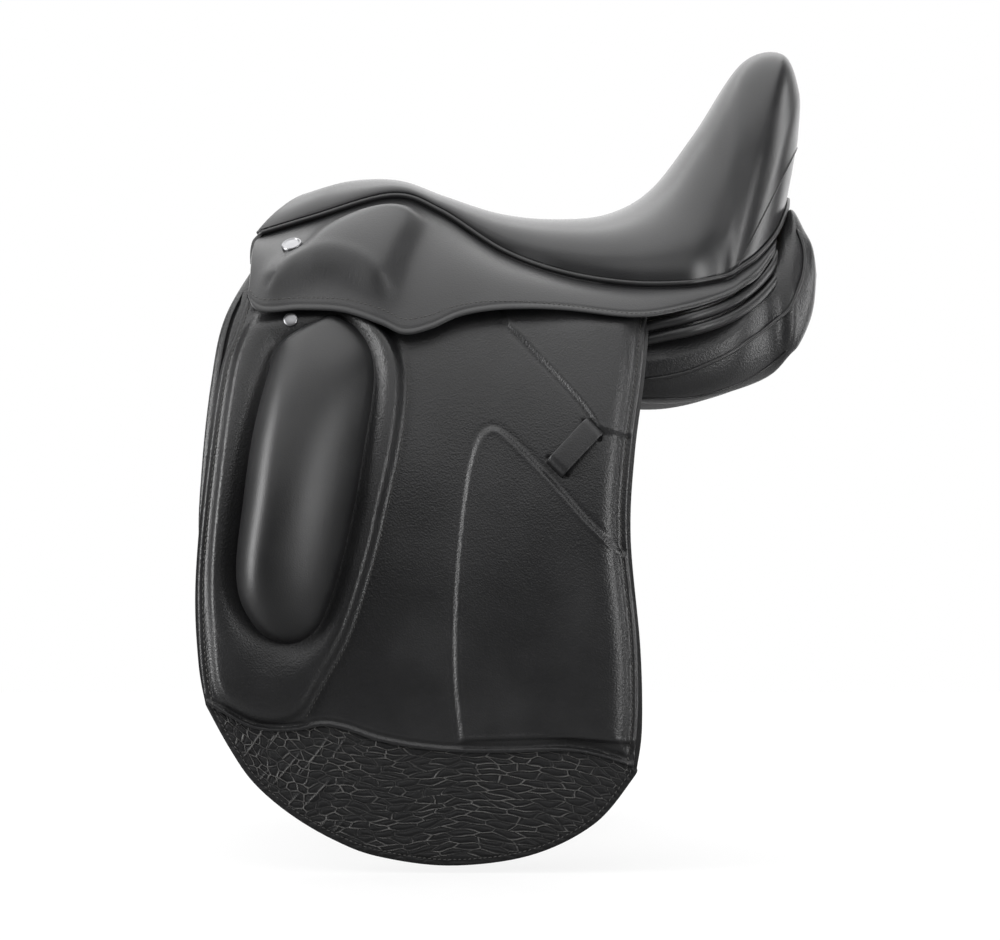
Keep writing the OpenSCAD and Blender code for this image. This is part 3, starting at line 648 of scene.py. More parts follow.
qq, ss = np.meshgrid(np.linspace(-1, 1, 101), np.linspace(0, 1, 34), indexing="xy")
back = wrapped_seat(lerp(seam_at(qq) - 0.04, 14.0, ss), qq) - [0.9, 0, 0]
back = np.concatenate([back, back[-1:] + [-2.0, 0, -4.5], back[-1:] + [-5.0, 0, -8.0]])
cantle = leather_sheet("cantle_back", back, 2.2, (1, 0, 0))
dress(cantle, seat_hide)
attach(cantle, "saddle")
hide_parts("cantle_cover")
print("seat faces", len(seat.data.polygons))

# %% [markdown]
# ## Pipings, facing and rolled bands
# Piping is a cord in a folded strip of leather. One tube runs from the pommel round the cantle and
# back, and a second one closes the front of the pommel.

# %% Pipings
def both_sides(path):
    return np.vstack([path, path[-2::-1] * [1, -1, 1]])


welt_t = np.r_[np.linspace(0, SEAT_END, 90), np.linspace(SEAT_END, WELT_END, 41)[1:]]
ahead = spline(welt_line, np.zeros(2)) + [[1.5, 5.0, -5.0], [-0.6, 1.8, -2.2]]
welt = piping("seat_piping", both_sides(np.vstack([ahead, spline(welt_line, welt_t)])), 2.1)
q = np.sin(np.linspace(-1, 1, 61) * np.pi / 2)
front_welt = piping("pommel_piping", seat_point(np.zeros(61), q) + [-1.2, 0, -3.5], 2.1)
for cord in (welt, front_welt):
    dress(cord, pad_hide)
    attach(cord, "saddle")
    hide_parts("seat_welt")
print("piping", len(welt.data.polygons), "faces")

# %% [markdown]
# The seat ends in a fine seam across the back of the cantle. Under the piping, two soft bands go
# round the back, on a strip of leather that closes the space behind them.

# %% Bands and facing
roll_line = np.array([[98, -135, 50], [124, -138.5, 56], [152, -138, 62], [178, -126, 71], [200, -110, 84],
                      [219, -88, 102], [231, -60, 122], [240, -28, 143], [243, 0, 149]], float)
q = np.linspace(-0.97, 0.97, 160)
dive = 0.1 - 3 * smooth((np.abs(q) - 0.8) / 0.1)
cord = piping("cantle_seam", wrapped_seat(seam_at(q), q) + dive[:, None] * [1, 0, 0], 0.6, 8)
dress(cord, pad_hide)
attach(cord, "saddle")
for name, move in (("upper", [0, 0, 0]), ("lower", [4, 0, -9.6])):
    path = both_sides(spline(roll_line, np.linspace(0, 8, 100))) + move
    band = piping(f"rear_band_{name}", path, 4.5, 16)
    dress(band, pad_hide)
    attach(band, "saddle")
    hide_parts(f"rear_roll_{name}")
path = both_sides(spline(roll_line, np.linspace(0.6, 8, 100)))
across = (path - path.mean(0)) * [1, 1, 0]
across /= np.linalg.norm(across, axis=1, keepdims=True)
backing = leather_sheet("rear_band_backing", path[:, None] - 4 * across[:, None]
                        + np.linspace(0, 1, 7)[None, :, None] * [3.0, 0, -18] + [0, 0, 7], 1.5, (0, 0, 1))
dress(backing, pad_hide)
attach(backing, "saddle")

qq, ww = np.meshgrid(np.sin(np.linspace(-1, 1, 81) * np.pi / 2), np.linspace(0, 1, 17), indexing="ij")
side = np.abs(qq) ** 3
lean = -3.4 * smooth(ww / 0.3) - 2 * np.sin(np.pi * ww) - 3.5 * side * ww
front = seat_point(np.zeros(qq.shape), qq) + np.stack([lean, np.sign(qq) * side * 12 * ww, -2 - 28 * ww], -1)
facing = leather_sheet("pommel_front", front, 3, (-1, 0, 0))
dress(facing, pad_hide)
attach(facing, "saddle")
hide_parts("pommel_facing")
print("facing", front.min((0, 1)), front.max((0, 1)))

# %% [markdown]
# ## Skirt
# The skirt covers the stirrup bar. The bar's bump is a plateau with a hollow under it, where the
# leather is pulled in and wrinkles. On the saddle the front part lifts and the rear part is sewn down;
# the mesh's padding is lower at the rear.

# %% Skirt surface
bump = soft_field(np.array([
    [-190, 80], [-180, 96], [-158, 113], [-134, 134], [-112, 147], [-92, 155], [-74, 154], [-64, 146],
    [-72, 123], [-80, 103], [-90, 75], [-136, 72], [-186, 72]], float), 8.5)
hollow = soft_field(np.array([
    [-186, 72], [-174, 80], [-162, 86], [-148, 90], [-134, 91], [-116, 86], [-103, 78], [-95, 66],
    [-100, 50], [-136, 50], [-186, 50]], float), 6.5)
bump_ridge = evenly(np.array([
    [-180, 88], [-172, 97], [-157, 110], [-136, 128], [-112, 142], [-92, 149], [-78, 148]], float), 60)
hollow_rim = evenly(np.array([
    [-182, 80], [-165, 97], [-148, 102], [-134, 103], [-114, 98], [-99, 88]], float), 60)


def skirt_grid(t, w):
    tt, ww = np.meshgrid(t, w, indexing="xy")
    flat = side_point(tt, np.maximum(ww, 0), 0)
    places = flat[..., [0, 2]]
    x, z = places[..., 0], places[..., 1]
    deep = hollow(places)
    flat_spot = 1 - 0.9 * np.exp(-np.sum((places - NAIL_PLACE) ** 2, -1) / NAIL_SEAT ** 2)
    h = 10 * np.sin(np.pi * np.clip(ww, 0, 1)) * (1 - 0.8 * smooth((tt - SKIRT_CUT) / 4))
    h *= smooth((ww + 0.08) / 0.12)
    fade = np.interp(x, [-195, -150], [0.5, 1]) * smooth(ww / 0.2)
    h += 15 * flat_spot * bump(places) * fade * (1 - 0.96 * deep)
    h += 2.2 * flat_spot * np.exp(-(distance_to(places, bump_ridge) / 8) ** 2)
    h += 0.9 * np.exp(-(distance_to(places, hollow_rim) / 5) ** 2)
    wrinkle = np.sin(2.1 * x + 1.4 * np.sin(0.35 * z + 0.2 * x) + 2.3 * np.sin(0.21 * x))
    h += 0.12 * deep * smooth((1 - ww) / 0.3) * wrinkle
    edge = np.linalg.norm(flat - side_point(tt, np.ones(tt.shape), 0), axis=-1)
    h -= 0.45 * np.exp(-((edge - 5.0) / 1.4) ** 2) + 0.9 * (1 - swell(edge / 2.2))
    tuck = np.where(ww < 0, 1.0, 0.0)[..., None]
    corner = ((1 - smooth(tt)) * smooth((ww - 0.25) / 0.75))[..., None]
    return side_point(tt, np.maximum(ww, 0), h) + tuck * [0, 0.8, 2.6] + corner * [4.5, -7.5, -11]


# %% [markdown]
# One grid makes the whole skirt, finer where the bump and the rolled edge are. Its seam is a row of
# the same grid, so the stitches lie on the leather.

# %% Skirt meshes
skirt_t = np.r_[np.linspace(0, 2.6, 165), np.linspace(2.6, 7, 95)[1:], np.linspace(7, SKIRT_END, 90)[1:]]
skirt_w = np.r_[-0.01, np.linspace(0, 0.85, 76), np.linspace(0.85, 1, 26)[1:]]
skirt_points = skirt_grid(skirt_t, skirt_w)
skirt_normals = normals_of(skirt_points)
for side, k in SIDES.items():
    skirt = leather_sheet(f"skirt_cover_{side}", to_side(skirt_points, side), 3, (0, -k, 0.4))
    dress(skirt, skirt_hide)
    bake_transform(skirt)
    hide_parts(f"skirt_{side}", f"skirt_band_{side}")
    row = len(skirt_w) - 16
    sewn = skirt_points[row, 8:-4], skirt_normals[row, 8:-4]
    seam = stitches(f"skirt_seam_{side}", *(to_side(part, side) for part in sewn))
    dress(seam, black_thread)
    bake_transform(seam)
print("skirt box", skirt_points.min((0, 1)), skirt_points.max((0, 1)))

# %% [markdown]
# ## Flap
# The flap's base is one hide from the tree to the toe. Its lower part carries the crackled trim,
# and a padded cover lies over the rest.

# %% Flap base
flap_front = np.array([[-211, 47], [-222, 13], [-231, -60], [-237, -150], [-234, -210], [-228, -243]], float)
flap_rear = np.array([[119, 47], [115, 10], [106, -50], [102, -115], [109, -200], [110, -260],
                      [106, -291]], float)
toe = np.array([[-228, -243], [-210, -275], [-191, -302], [-163, -326], [-129, -346], [-94, -359],
                [-38, -366], [24, -358], [73, -334], [103, -299], [106, -291]], float)


def patch(front, rear, foot, across, down):
    """A grid of places between a front, a rear and a lower edge."""
    f, r, foot = evenly(front, 400), evenly(rear, 400), evenly(foot, 400)
    s = np.linspace(0, 1, 400)
    f, r, foot = at_stops(down, s, f), at_stops(down, s, r), at_stops(across, s, foot)
    top = lerp(f[0], r[0], across[:, None])
    u, v = across[None, :, None], down[:, None, None]
    return ((1 - u) * f[:, None] + u * r[:, None] + (1 - v) * top[None] + v * foot[None]
            - (1 - u) * (1 - v) * f[0] - u * (1 - v) * r[0] - (1 - u) * v * f[-1] - u * v * r[-1])


across = np.linspace(0, 1, 60)
down = np.linspace(0, 1, 90)
base_places = patch(flap_front, flap_rear, toe, across, down)
base_low = beside(base_places[..., 0], base_places[..., 1], FLAP_OUT)
head_t = np.interp(across, [0, 1], [0.25, 11])
head_x = spline(side_low, head_t)[:, 0]
head_w = np.interp(across, [0, 0.6, 1], [0.515, 0.515, 0.8])
head_top = side_point(head_t, head_w, -0.4 - 2 * smooth((across - 0.6) / 0.4))
head_z = np.interp(across, [0, 0.6, 1], [74, 74, 60])
head_mid = beside(lerp(head_x, base_places[0, :, 0], 0.5), head_z, FLAP_OUT)
head = np.stack([head_top, head_mid, base_low[0], base_low[8]])
base_points = np.concatenate([spline(head, np.linspace(0, 2, 25))[:-1], base_low])


for side, k in SIDES.items():
    base = leather_sheet(f"flap_base_{side}", to_side(base_points, side), 3.5, (0, -k, 0))
    dress(base, flap_hide)
    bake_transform(base)
    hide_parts(f"flap_{side}", f"flap_head_{side}")
print("flap toe", base_points[-1, 30])

# %% [markdown]
# ### Padded cover
# The cover's padding is a height over the flap. Each pad is an outline, and the height grows
# round from its seam. The thigh block sits in a hollow inside a long roll, and two flat pads lie
# behind it with a channel between them.

# %% Cover outlines
cover_front = np.array([
    [-198, 84], [-206, 62], [-212.5, 40], [-221, 12], [-229, -60], [-235, -140], [-234, -190],
    [-231, -222], [-227, -242]], float)
cover_rear = np.array([
    [118, 68], [118, 55], [116, 40], [112, 8], [103, -50], [99, -112], [106, -190], [107, -250],
    [103, -290]], float)
cover_foot = np.array([
    [-227, -242], [-211, -251], [-193, -260], [-174, -263], [-154, -262], [-137, -259], [-119, -262],
    [-95, -270], [-63, -276], [-25, -279], [12, -279], [48, -278], [73, -281], [103, -290]], float)
roll_outline = np.array([
    [-197, 60], [-150, 66], [-112, 58], [-90, 44], [-77, 22], [-74, -4], [-78, -44], [-88, -91],
    [-98, -135], [-116, -191], [-137, -229], [-152, -252], [-170, -259], [-190, -257], [-210, -247],
    [-222, -232], [-227, -200], [-230, -140], [-224, -60], [-216, 12], [-207, 42]], float)
block_outline = np.array([
    [-132, 55], [-174, 33], [-185, 4], [-195, -42], [-201, -93], [-205, -133], [-203, -159],
    [-194, -178], [-182, -191], [-167, -196], [-154, -195], [-141, -185], [-132, -166], [-125, -144],
    [-114, -97], [-107, -54], [-100, -9], [-99, 14], [-104, 32], [-116, 47]], float)
upper_pad = np.array([
    [-2, 90], [2, 52], [20, 31], [43, 7], [62, -14], [72, -27], [82, -38], [130, -36], [130, -10],
    [130, 20], [130, 50], [130, 90]], float)
lower_pad = np.array([
    [-31, -272], [-36, -222], [-36, -172], [-33, -123], [-27, -73], [-21, -48], [-15, -36],
    [-6, -31], [3, -35], [20, -50], [45, -76], [67, -101], [86, -119], [102, -130], [130, -150],
    [130, -190], [130, -240], [130, -272], [48, -270], [0, -271]], float)
groove_line = np.array([
    [-92, 48], [-79, 30], [-73, 2], [-77, -44], [-87, -91], [-98, -135], [-116, -191],
    [-137, -229], [-152, -255], [-165, -261], [-188, -258], [-210, -248]], float)


def fine_outline(outline):
    return evenly(np.vstack([outline, outline[:1]]), 6 * len(outline))[:-1]


roll_outline, block_outline = fine_outline(roll_outline), fine_outline(block_outline)
upper_pad, lower_pad = fine_outline(upper_pad), fine_outline(lower_pad)
groove_line = evenly(groove_line, 6 * len(groove_line))
cover_foot_line = evenly(cover_foot, 120)
cover_edge = np.vstack([evenly(cover_front, 160), cover_foot_line[1:], evenly(cover_rear, 160)[::-1][1:]])
print("cover edge", cover_edge.min(0), cover_edge.max(0))
keeper_slots = [np.array([[66, -29], [78, -42]], float), np.array([[39, -56], [51, -69]], float)]


# %% [markdown]
# The height is a sum of plain terms: the rounded rear edge, the roll round the block, the two pads
# with a bead at their seams, the grooves, the keeper's slots and the turned edge.

# %% Padding height
def cover_height(p):
    """Height of the cover above its sewn edge."""
    edge = distance_to(p, cover_edge)
    below = smooth((70 - p[..., 1]) / 30)
    roll = inside_by(p, roll_outline)
    block = inside_by(p, block_outline)
    behind = smooth((p[..., 0] - 20) / 60)
    rise = 1 - (1 - np.clip((edge - 7) / 18, 0, 1)) ** 2.6
    h = 1.2 * smooth(edge / 14) + behind * (6.2 * rise - 1.2)
    ridge = np.maximum(roll, 0) / np.maximum(np.maximum(roll, 0) + np.clip(-block, 0, 28), 1e-3)
    round_roll = 6.8 * np.sin(np.pi * ridge ** 0.8) * smooth((roll + 0.5) / 8.5)
    h += round_roll * np.where(block > 0, 0, 1) * lerp(0.35, 1, below)
    up, low = inside_by(p, upper_pad), inside_by(p, lower_pad)
    h += 2.0 * smooth(up / 4) + 0.4 * np.exp(-((up - 3) / 2.0) ** 2)
    h += 2.4 * smooth(low / 4) + 0.7 * np.exp(-((low - 3) / 2.0) ** 2)
    h -= 0.9 * np.exp(-(distance_to(p, groove_line) / 3.0) ** 2)
    h -= 0.4 * np.exp(-((low + 1.5) / 2.0) ** 2) + 0.5 * np.exp(-((up + 1) / 1.6) ** 2)
    h -= 0.6 * np.exp(-((edge - 4.6) / 1.3) ** 2)
    for slot in keeper_slots:
        h -= 2.4 * np.exp(-(distance_to(p, slot) / 1.7) ** 2)
    foot = distance_to(p, cover_foot_line)
    near = 1 - smooth((foot - 5) / 8)
    h = h * smooth(edge / 3) - 1.9 * (1 - swell(edge / 2.4)) * (1 - near)
    h += near * (0.5 + 0.7 * np.exp(-((foot - 1.4) / 1.4) ** 2))
    return h - 0.9 * np.exp(-((foot - 5) / 1.8) ** 2)


def over_flap(p):
    """Points on the cover above places of the flap."""
    h = cover_height(p)
    thin = smooth((p[..., 1] - 40) / 30)
    return beside(p[..., 0], p[..., 1], COVER_IN + COVER_HIDE + h * lerp(1, 0.4, thin))


# %% [markdown]
# The cover is a grid between its front, rear and lower edges. Seams are lines of places that are
# put on the same height.

# %% Cover meshes and seams
u = np.linspace(0, 1, 190)
u = lerp(u, smooth(u), 0.35)
v = np.linspace(0, 1, 245)
v = lerp(v, 1 - (1 - v) ** 1.35, 0.6)
places = patch(cover_front, cover_rear, cover_foot, u, v)
cover_points = over_flap(places)


def seam_on_cover(name, line, side, **kw):
    """Stitches along a line of places on the cover."""
    line = evenly(np.asarray(line, float), 240)
    p = over_flap(line)
    e = 1.0
    dx = over_flap(line + [e, 0]) - over_flap(line - [e, 0])
    dz = over_flap(line + [0, e]) - over_flap(line - [0, e])
    n = np.cross(dx, dz)
    n *= np.sign(-n[:, 1:2])
    n /= np.linalg.norm(n, axis=1, keepdims=True)
    seam = stitches(f"{name}_{side}", to_side(p + 0.15 * n, side), to_side(n, side), **kw)
    dress(seam, black_thread)
    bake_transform(seam)


for side, k in SIDES.items():
    cover = leather_sheet(f"flap_padding_{side}", to_side(cover_points, side), 1.8, (0, -k, 0), 0.3)
    dress(cover, flap_hide)
    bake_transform(cover)
    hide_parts(f"flap_cover_{side}")
    seam_on_cover("front_seam", cover_front[1:] + [4.6, 0], side, pitch=4.4, length=3.1, thick=1.15)
    seam_on_cover("rear_seam", cover_rear[1:] - [4.8, 0], side, pitch=4.4, length=3.1, thick=1.15)
    seam_on_cover("roll_seam", groove_line[6:-12], side)
print("cover height", cover_height(places).min(), cover_height(places).max())

# %% [markdown]
# ### Crackled trim
# The toe of the flap has a hide that was shrunk until it cracked into cells. The cells are longer
# along the flap, so they come from seeded points on a stretched grid, with a crack wherever two
# points are equally near.

# %% Trim cells
def trim_places(rows, cols):
    top, low = evenly(cover_foot + [0, 4], cols), evenly(toe, cols)
    return top[None] + (low - top)[None] * np.linspace(0, 1, rows)[:, None, None]


def cell_size(x):
    """Width and height of the cells: small at the front, long and low in the middle, larger behind."""
    return (np.interp(x, [-230, -165, -110, -20, 40, 110], [6.5, 8.5, 14, 20, 17, 8.5]),
            np.interp(x, [-230, -165, -110, -20, 40, 110], [6, 6.5, 4.9, 4.7, 5.2, 5.5]))


def crackle(p):
    """Distance in mm to the nearest crack, for places on the trim."""
    rng = np.random.default_rng(7)
    cells = kdtree.KDTree(6000)
    for i in range(100):
        for j in range(60):
            at = (i + 0.5 * (j % 2) + rng.uniform(-0.4, 0.4), j + rng.uniform(-0.33, 0.33), 0)
            cells.insert(at, 60 * i + j)
    cells.balance()
    x, z = p[..., 0].ravel(), p[..., 1].ravel()
    wide, high = cell_size(x)
    steps = np.linspace(-240, 120, 721)
    u = np.interp(x, steps, np.cumsum(0.5 / cell_size(steps)[0])) + 20 + 0.1 * np.sin(z * 0.4)
    slope = np.interp(x, [-230, -150, -90, 0, 30, 110], [-0.55, -0.35, 0.12, 0.04, -0.28, -0.38])
    v = 25 + (z + 315 - slope * (x - np.clip(x, -150, 30)) + 2.5 * np.sin(x * 0.06)
              + 0.4 * np.sin(x * 0.31 + z * 0.15)) / high
    away = np.empty(len(u))
    for n, (a, b) in enumerate(zip(u, v)):
        (p1, _, d1), (p2, _, d2) = cells.find_n((a, b, 0), 2)
        line = p2 - p1
        span = max(line.length, 1e-6)
        stretch = math.hypot(line.x / span / wide[n], line.y / span / high[n])
        away[n] = (d2 * d2 - d1 * d1) / (2 * span) / stretch
    return away.reshape(p.shape[:-1])


# %% [markdown]
# Cracks fade in places, and the front of the trim also has long slanting ones. Each stands up as a
# thin line, and the cells between them swell. How strong a crack is also lightens the colour, as a
# painted highlight on the raised lines.

# %% Trim meshes
trim_grid = trim_places(150, 470)
crack_by = crackle(trim_grid)
rim_distance = distance_to(trim_grid, evenly(toe, 200))
x, z = trim_grid[..., 0], trim_grid[..., 1]
broken = 0.55 + 0.45 * smooth(0.5 + 0.9 * np.sin(0.11 * x + 2.6 * np.sin(0.083 * z))
                              * np.cos(0.17 * z + 1.9 * np.sin(0.07 * x)))
SLANT_PITCH, CRACK = 10.5, 0.5
lean = -0.77 * x + 0.64 * z + 2.2 * np.sin(0.06 * z)
slant = np.abs((lean / SLANT_PITCH) % 1 - 0.5) * SLANT_PITCH
gaps = 0.6 * np.sin(0.09 * (0.64 * x + 0.77 * z) + np.floor(lean / SLANT_PITCH) * 2.1) + 0.4
slant_on = smooth((-108 - x) / 25) * smooth((x + 212) / 20) * smooth(gaps)
cracks = np.maximum(broken * np.exp(-(crack_by / CRACK) ** 2), slant_on * np.exp(-(slant / CRACK) ** 2))
cracks = cracks * smooth((rim_distance - 3) / 4)
trim_depth = FLAP_OUT + 0.7 + 0.9 * smooth(crack_by / 2.6) * np.minimum(1, rim_distance / 4) + 1.3 * cracks
trim_depth -= 1.0 * (1 - swell(rim_distance / 1.8)) + 0.4 * np.exp(-((rim_distance - 5) / 1.2) ** 2)
trim_points = beside(x, z, trim_depth)
for side, k in SIDES.items():
    trim = laid_grid(f"flap_trim_{side}", to_side(trim_points, side), (0, -k, 0))
    # The crack strength is stored for the shader, which paints a highlight along the cracks with it.
    crease = trim.data.attributes.new("crease", "FLOAT", "POINT")
    crease.data.foreach_set("value", cracks.astype(np.float32).ravel())
    in_edit_mode(trim, bpy.ops.mesh.region_to_loop,
                 lambda: bpy.ops.mesh.extrude_edges_move(TRANSFORM_OT_translate={"value": (0, k * MM, 0)}),
                 lambda: bpy.ops.mesh.fill())
    smooth_faces(trim, 50)
    dress(trim, crackle_hide)
    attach(trim, f"flap_{side}")
    line = evenly(toe, 260)
    inward = (trim_grid[0].mean(0) - line) / np.linalg.norm(trim_grid[0].mean(0) - line, axis=1)[:, None]
    path = beside(*(line + 5 * inward).T, FLAP_OUT + 1.0)
    seam = stitches(f"trim_seam_{side}", to_side(path, side), to_side(np.tile([0, -1.0, 0], (260, 1)), side))
    dress(seam, black_thread)
    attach(seam, f"flap_{side}")
print("cracks", cracks.mean())

# %% [markdown]
# ## Thigh block
# The block is a tall padded form under smooth hide. Each row of a grid spans its outline and rises
# from the front edge to a crest near it, then falls evenly to the rear. The first and last rows
# shrink to points, which are merged.

# %% Thigh blocks
def block_grid(rows, cols):
    """Rows across the block, from its top to its foot, with a crest near the front."""
    top, foot = block_outline[:, 1].argmax(), block_outline[:, 1].argmin()
    ring = np.roll(block_outline, -top, 0)
    foot = (foot - top) % len(ring)
    front, back = ring[:foot + 1], np.vstack([ring[foot:], ring[:1]])[::-1]
    v = np.sin(np.linspace(-np.pi / 2, np.pi / 2, rows))
    z = lerp(front[0, 1], front[-1, 1], (1 + v) / 2)
    a, b = np.interp(-z, -front[:, 1], front[:, 0]), np.interp(-z, -back[:, 1], back[:, 0])
    u = np.sin(np.linspace(-np.pi / 2, np.pi / 2, cols))
    x = lerp(a[:, None], b[:, None], (1 + u)[None] / 2)
    crest = -0.34
    slope = np.where(u < crest, (crest - u) / (1 + crest), (u - crest) / (1 - crest))
    fore, aft = np.maximum(0, 1 - slope ** 2) ** 0.52, np.maximum(0, 1 - slope ** 1.55) ** 0.7
    across = np.where(u < crest, fore, aft)
    along = np.maximum(0, 1 - np.abs(v) ** 2.8) ** 0.55 * (39.5 - 11 * smooth((0.3 - v) / 1.3))
    return beside(x, np.broadcast_to(z[:, None], x.shape), COVER_IN + 1.5 + along[:, None] * across[None])


block_points = block_grid(120, 81)
for side, k in SIDES.items():
    block = laid_grid(f"knee_block_{side}", to_side(block_points, side), (0, -k, 0))
    in_edit_mode(block, lambda: bpy.ops.mesh.remove_doubles(threshold=0.02 * MM))
    apply_modifier(block, "SOLIDIFY", thickness=1.5 * MM, offset=-1)
    smooth_faces(block)
    dress(block, block_hide)
    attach(block, f"flap_{side}")
    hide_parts(f"thigh_block_{side}")
print("block", block_points.min((0, 1)), block_points.max((0, 1)))

# %% [markdown]
# ## Keeper and metal
# The keeper is a short strap whose ends dive into slots. The nail and the stud are plain buttons,
# turned from a profile, and the nail sits on a flat spot of the skirt.

# %% Keepers, nails and studs
def button(name, at, up, profile, side, body, node):
    """A metal button turned from a profile of radii and heights."""
    up = np.array(up) / np.linalg.norm(up)
    u = np.cross(up, [0, 0, 1.0])
    u /= np.linalg.norm(u)
    a = np.linspace(0, 2 * np.pi, 64, endpoint=False)[:, None]
    round_ = np.cos(a) * u + np.sin(a) * np.cross(up, u)
    rings = [at + r * round_ + h * up for r, h in profile]
    obj = closed_skin(name, to_side(rings, side))
    smooth_faces(obj, 40)
    dress(obj, bright_steel)
    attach(obj, body)
    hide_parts(node)


near = np.linalg.norm(skirt_points[..., [0, 2]] - NAIL_PLACE, axis=-1)
i, j = np.unravel_index(near.argmin(), near.shape)
nail_up = 0.8 * skirt_normals[i, j] + [0, -0.2, 0.02]
nail_up /= np.linalg.norm(nail_up)
nail_at = skirt_points[i, j] + 1.8 * nail_up
nail_profile = [(7.6, -3.5), (8.4, -0.8), (8.6, 0.6), (8.3, 1.5), (7.6, 2.0), (6.9, 2.0), (6.4, 1.5),
                (6.0, 1.3), (4.5, 1.5), (3.0, 1.62), (1.5, 1.7), (0.05, 1.72)]
stud_at = over_flap(np.array([[-167.0, 48.5]]))[0]
stud_up = np.array([-0.1, -1, 0.35])
stud_profile = [(5.8, -2.0), (5.8, 1.0), (5.4, 1.7), (4.6, 2.0), (2.0, 2.2), (0.05, 2.25)]
keeper_t = np.linspace(-1, 1, 61)
keeper_at, keeper_dir = np.array([59, -48]), np.array([0.70, 0.71])
keeper_side = np.array([0.71, -0.70])
KEEPER_REST = COVER_IN + COVER_HIDE + 2.4
for side, k in SIDES.items():
    line = keeper_at + 24 * keeper_t[:, None] * keeper_dir
    wide = np.linspace(-9, 9, 15)
    p = line[:, None] + wide[None, :, None] * keeper_side
    arch = 7.5 * swell((1 - np.abs(keeper_t)) / 0.32)[:, None] + 0.5 - 0.5 * (wide[None] / 9) ** 4
    arched = to_side(beside(p[..., 0], p[..., 1], KEEPER_REST + arch), side)
    strap = leather_sheet(f"keeper_strap_{side}", arched, 2.6, (0, -k, 0))
    dress(strap, strap_hide)
    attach(strap, f"flap_{side}")
    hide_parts(f"keeper_{side}")
    for node in ("stirrup_bar", "bar_rivets", "stirrup_catch"):
        dress(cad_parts[f"{node}_{side}"], forged_steel)
    button(f"nail_button_{side}", nail_at, nail_up, nail_profile, side, f"skirt_{side}",
           f"saddle_nail_{side}")
    button(f"stud_button_{side}", stud_at, stud_up, stud_profile, side, "saddle", f"flap_stud_{side}")
dress(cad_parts["head_plate"], forged_steel)
dress(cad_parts["head_plate_rivets"], bright_steel)
dress(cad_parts["tree"], beech)
print("nail", nail_at, "stud", stud_at)

# %% [markdown]
# ## Panels
# The panels are stuffed with wool and bear on the horse. Each is a skin through rings that follow
# the solid, and two fine pipings lie on its outer face.

# %% Panels
panel_rows = np.array([
    [-166, 90, 84, 14, 10, 50], [-145, 88, 78, 36, 18, 48], [-80, 84, 60, 50, 22, 42],
    [0, 82, 40, 54, 24, 36], [80, 86, 33, 52, 28, 26], [140, 92, 30, 44, 34, 12], [190, 84, 43, 42, 38, 6],
    [220, 68, 61, 34, 45, -10], [237, 58, 90, 30, 63, -28], [246, 53, 101, 27, 65, -28],
    [255, 55, 100, 21, 44, -24], [260.5, 57, 101, 14, 26, -14], [263.5, 58, 102, 1, 1.5, 0]], float)


def panel_rings(t, sides):
    s = spline(panel_rows, t)[:, None, :]
    a = np.linspace(0, 2 * np.pi, sides, endpoint=False)[None]
    c, d = np.cos(a), np.sin(a)
    square = lerp(0.75, 1.0, smooth((t - 5.5) / 2))[:, None]
    u = s[..., 3] * np.sign(c) * np.abs(c) ** square
    w = s[..., 4] * np.sign(d) * np.abs(d) ** square
    tilt = np.radians(s[..., 5])
    y = s[..., 1] + u * np.cos(tilt) + w * np.sin(tilt)
    z = s[..., 2] - u * np.sin(tilt) + w * np.cos(tilt)
    y = np.minimum(y, barrel(np.minimum(z, 100)) - 0.3)
    return np.stack([s[..., 0] + 0 * y, -y, z], -1)


panel_skin = panel_rings(np.r_[np.linspace(0, 11, 120), np.linspace(11, 12, 14)[1:]], 72)
panel_fine = panel_rings(np.linspace(3, 11.9, 300), 240).reshape(-1, 3)


def on_panel(line, count=90):
    """Points on the panel's outer face over places seen from the side."""
    found = []
    for x, z in evenly(np.array(line, float), count):
        away = np.hypot(panel_fine[:, 0] - x, panel_fine[:, 2] - z)
        near = panel_fine[away < max(3.0, away.min() + 0.5)]
        found.append(near[near[:, 1].argmin()])
    found = np.array(found)
    for _ in range(12):
        found[1:-1] = found[1:-1] / 2 + (found[:-2] + found[2:]) / 4
    return found


panel_seam = on_panel([(80, 4), (119, 10), (143, 14), (168, 23), (193, 37), (219, 55), (240, 78),
                       (251, 98), (254, 115), (253, 130), (248, 143)]) - [0, 1.0, 0]
panel_foot = on_panel([(80, -6), (117, -5), (157, -4), (194, 7), (221, 22), (237, 36)])
for side in SIDES:
    panel = closed_skin(f"panel_pad_{side}", to_side(panel_skin, side))
    dress(panel, panel_hide)
    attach(panel, "saddle")
    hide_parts(f"panel_{side}")
    for name, path, thick in (("panel_piping", panel_seam, 1.6), ("panel_foot_piping", panel_foot, 0.9)):
        cord = piping(f"{name}_{side}", to_side(path, side), thick)
        dress(cord, pad_hide)
        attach(cord, "saddle")
        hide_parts(f"panel_welt_{side}")
print("panel", panel_skin.min((0, 1)), panel_skin.max((0, 1)))

# %% [markdown]
# ## Sweat flap, straps and webs
# The sweat flap keeps the straps off the horse, and its front edge is a padded roll that shows
# ahead of the flap.

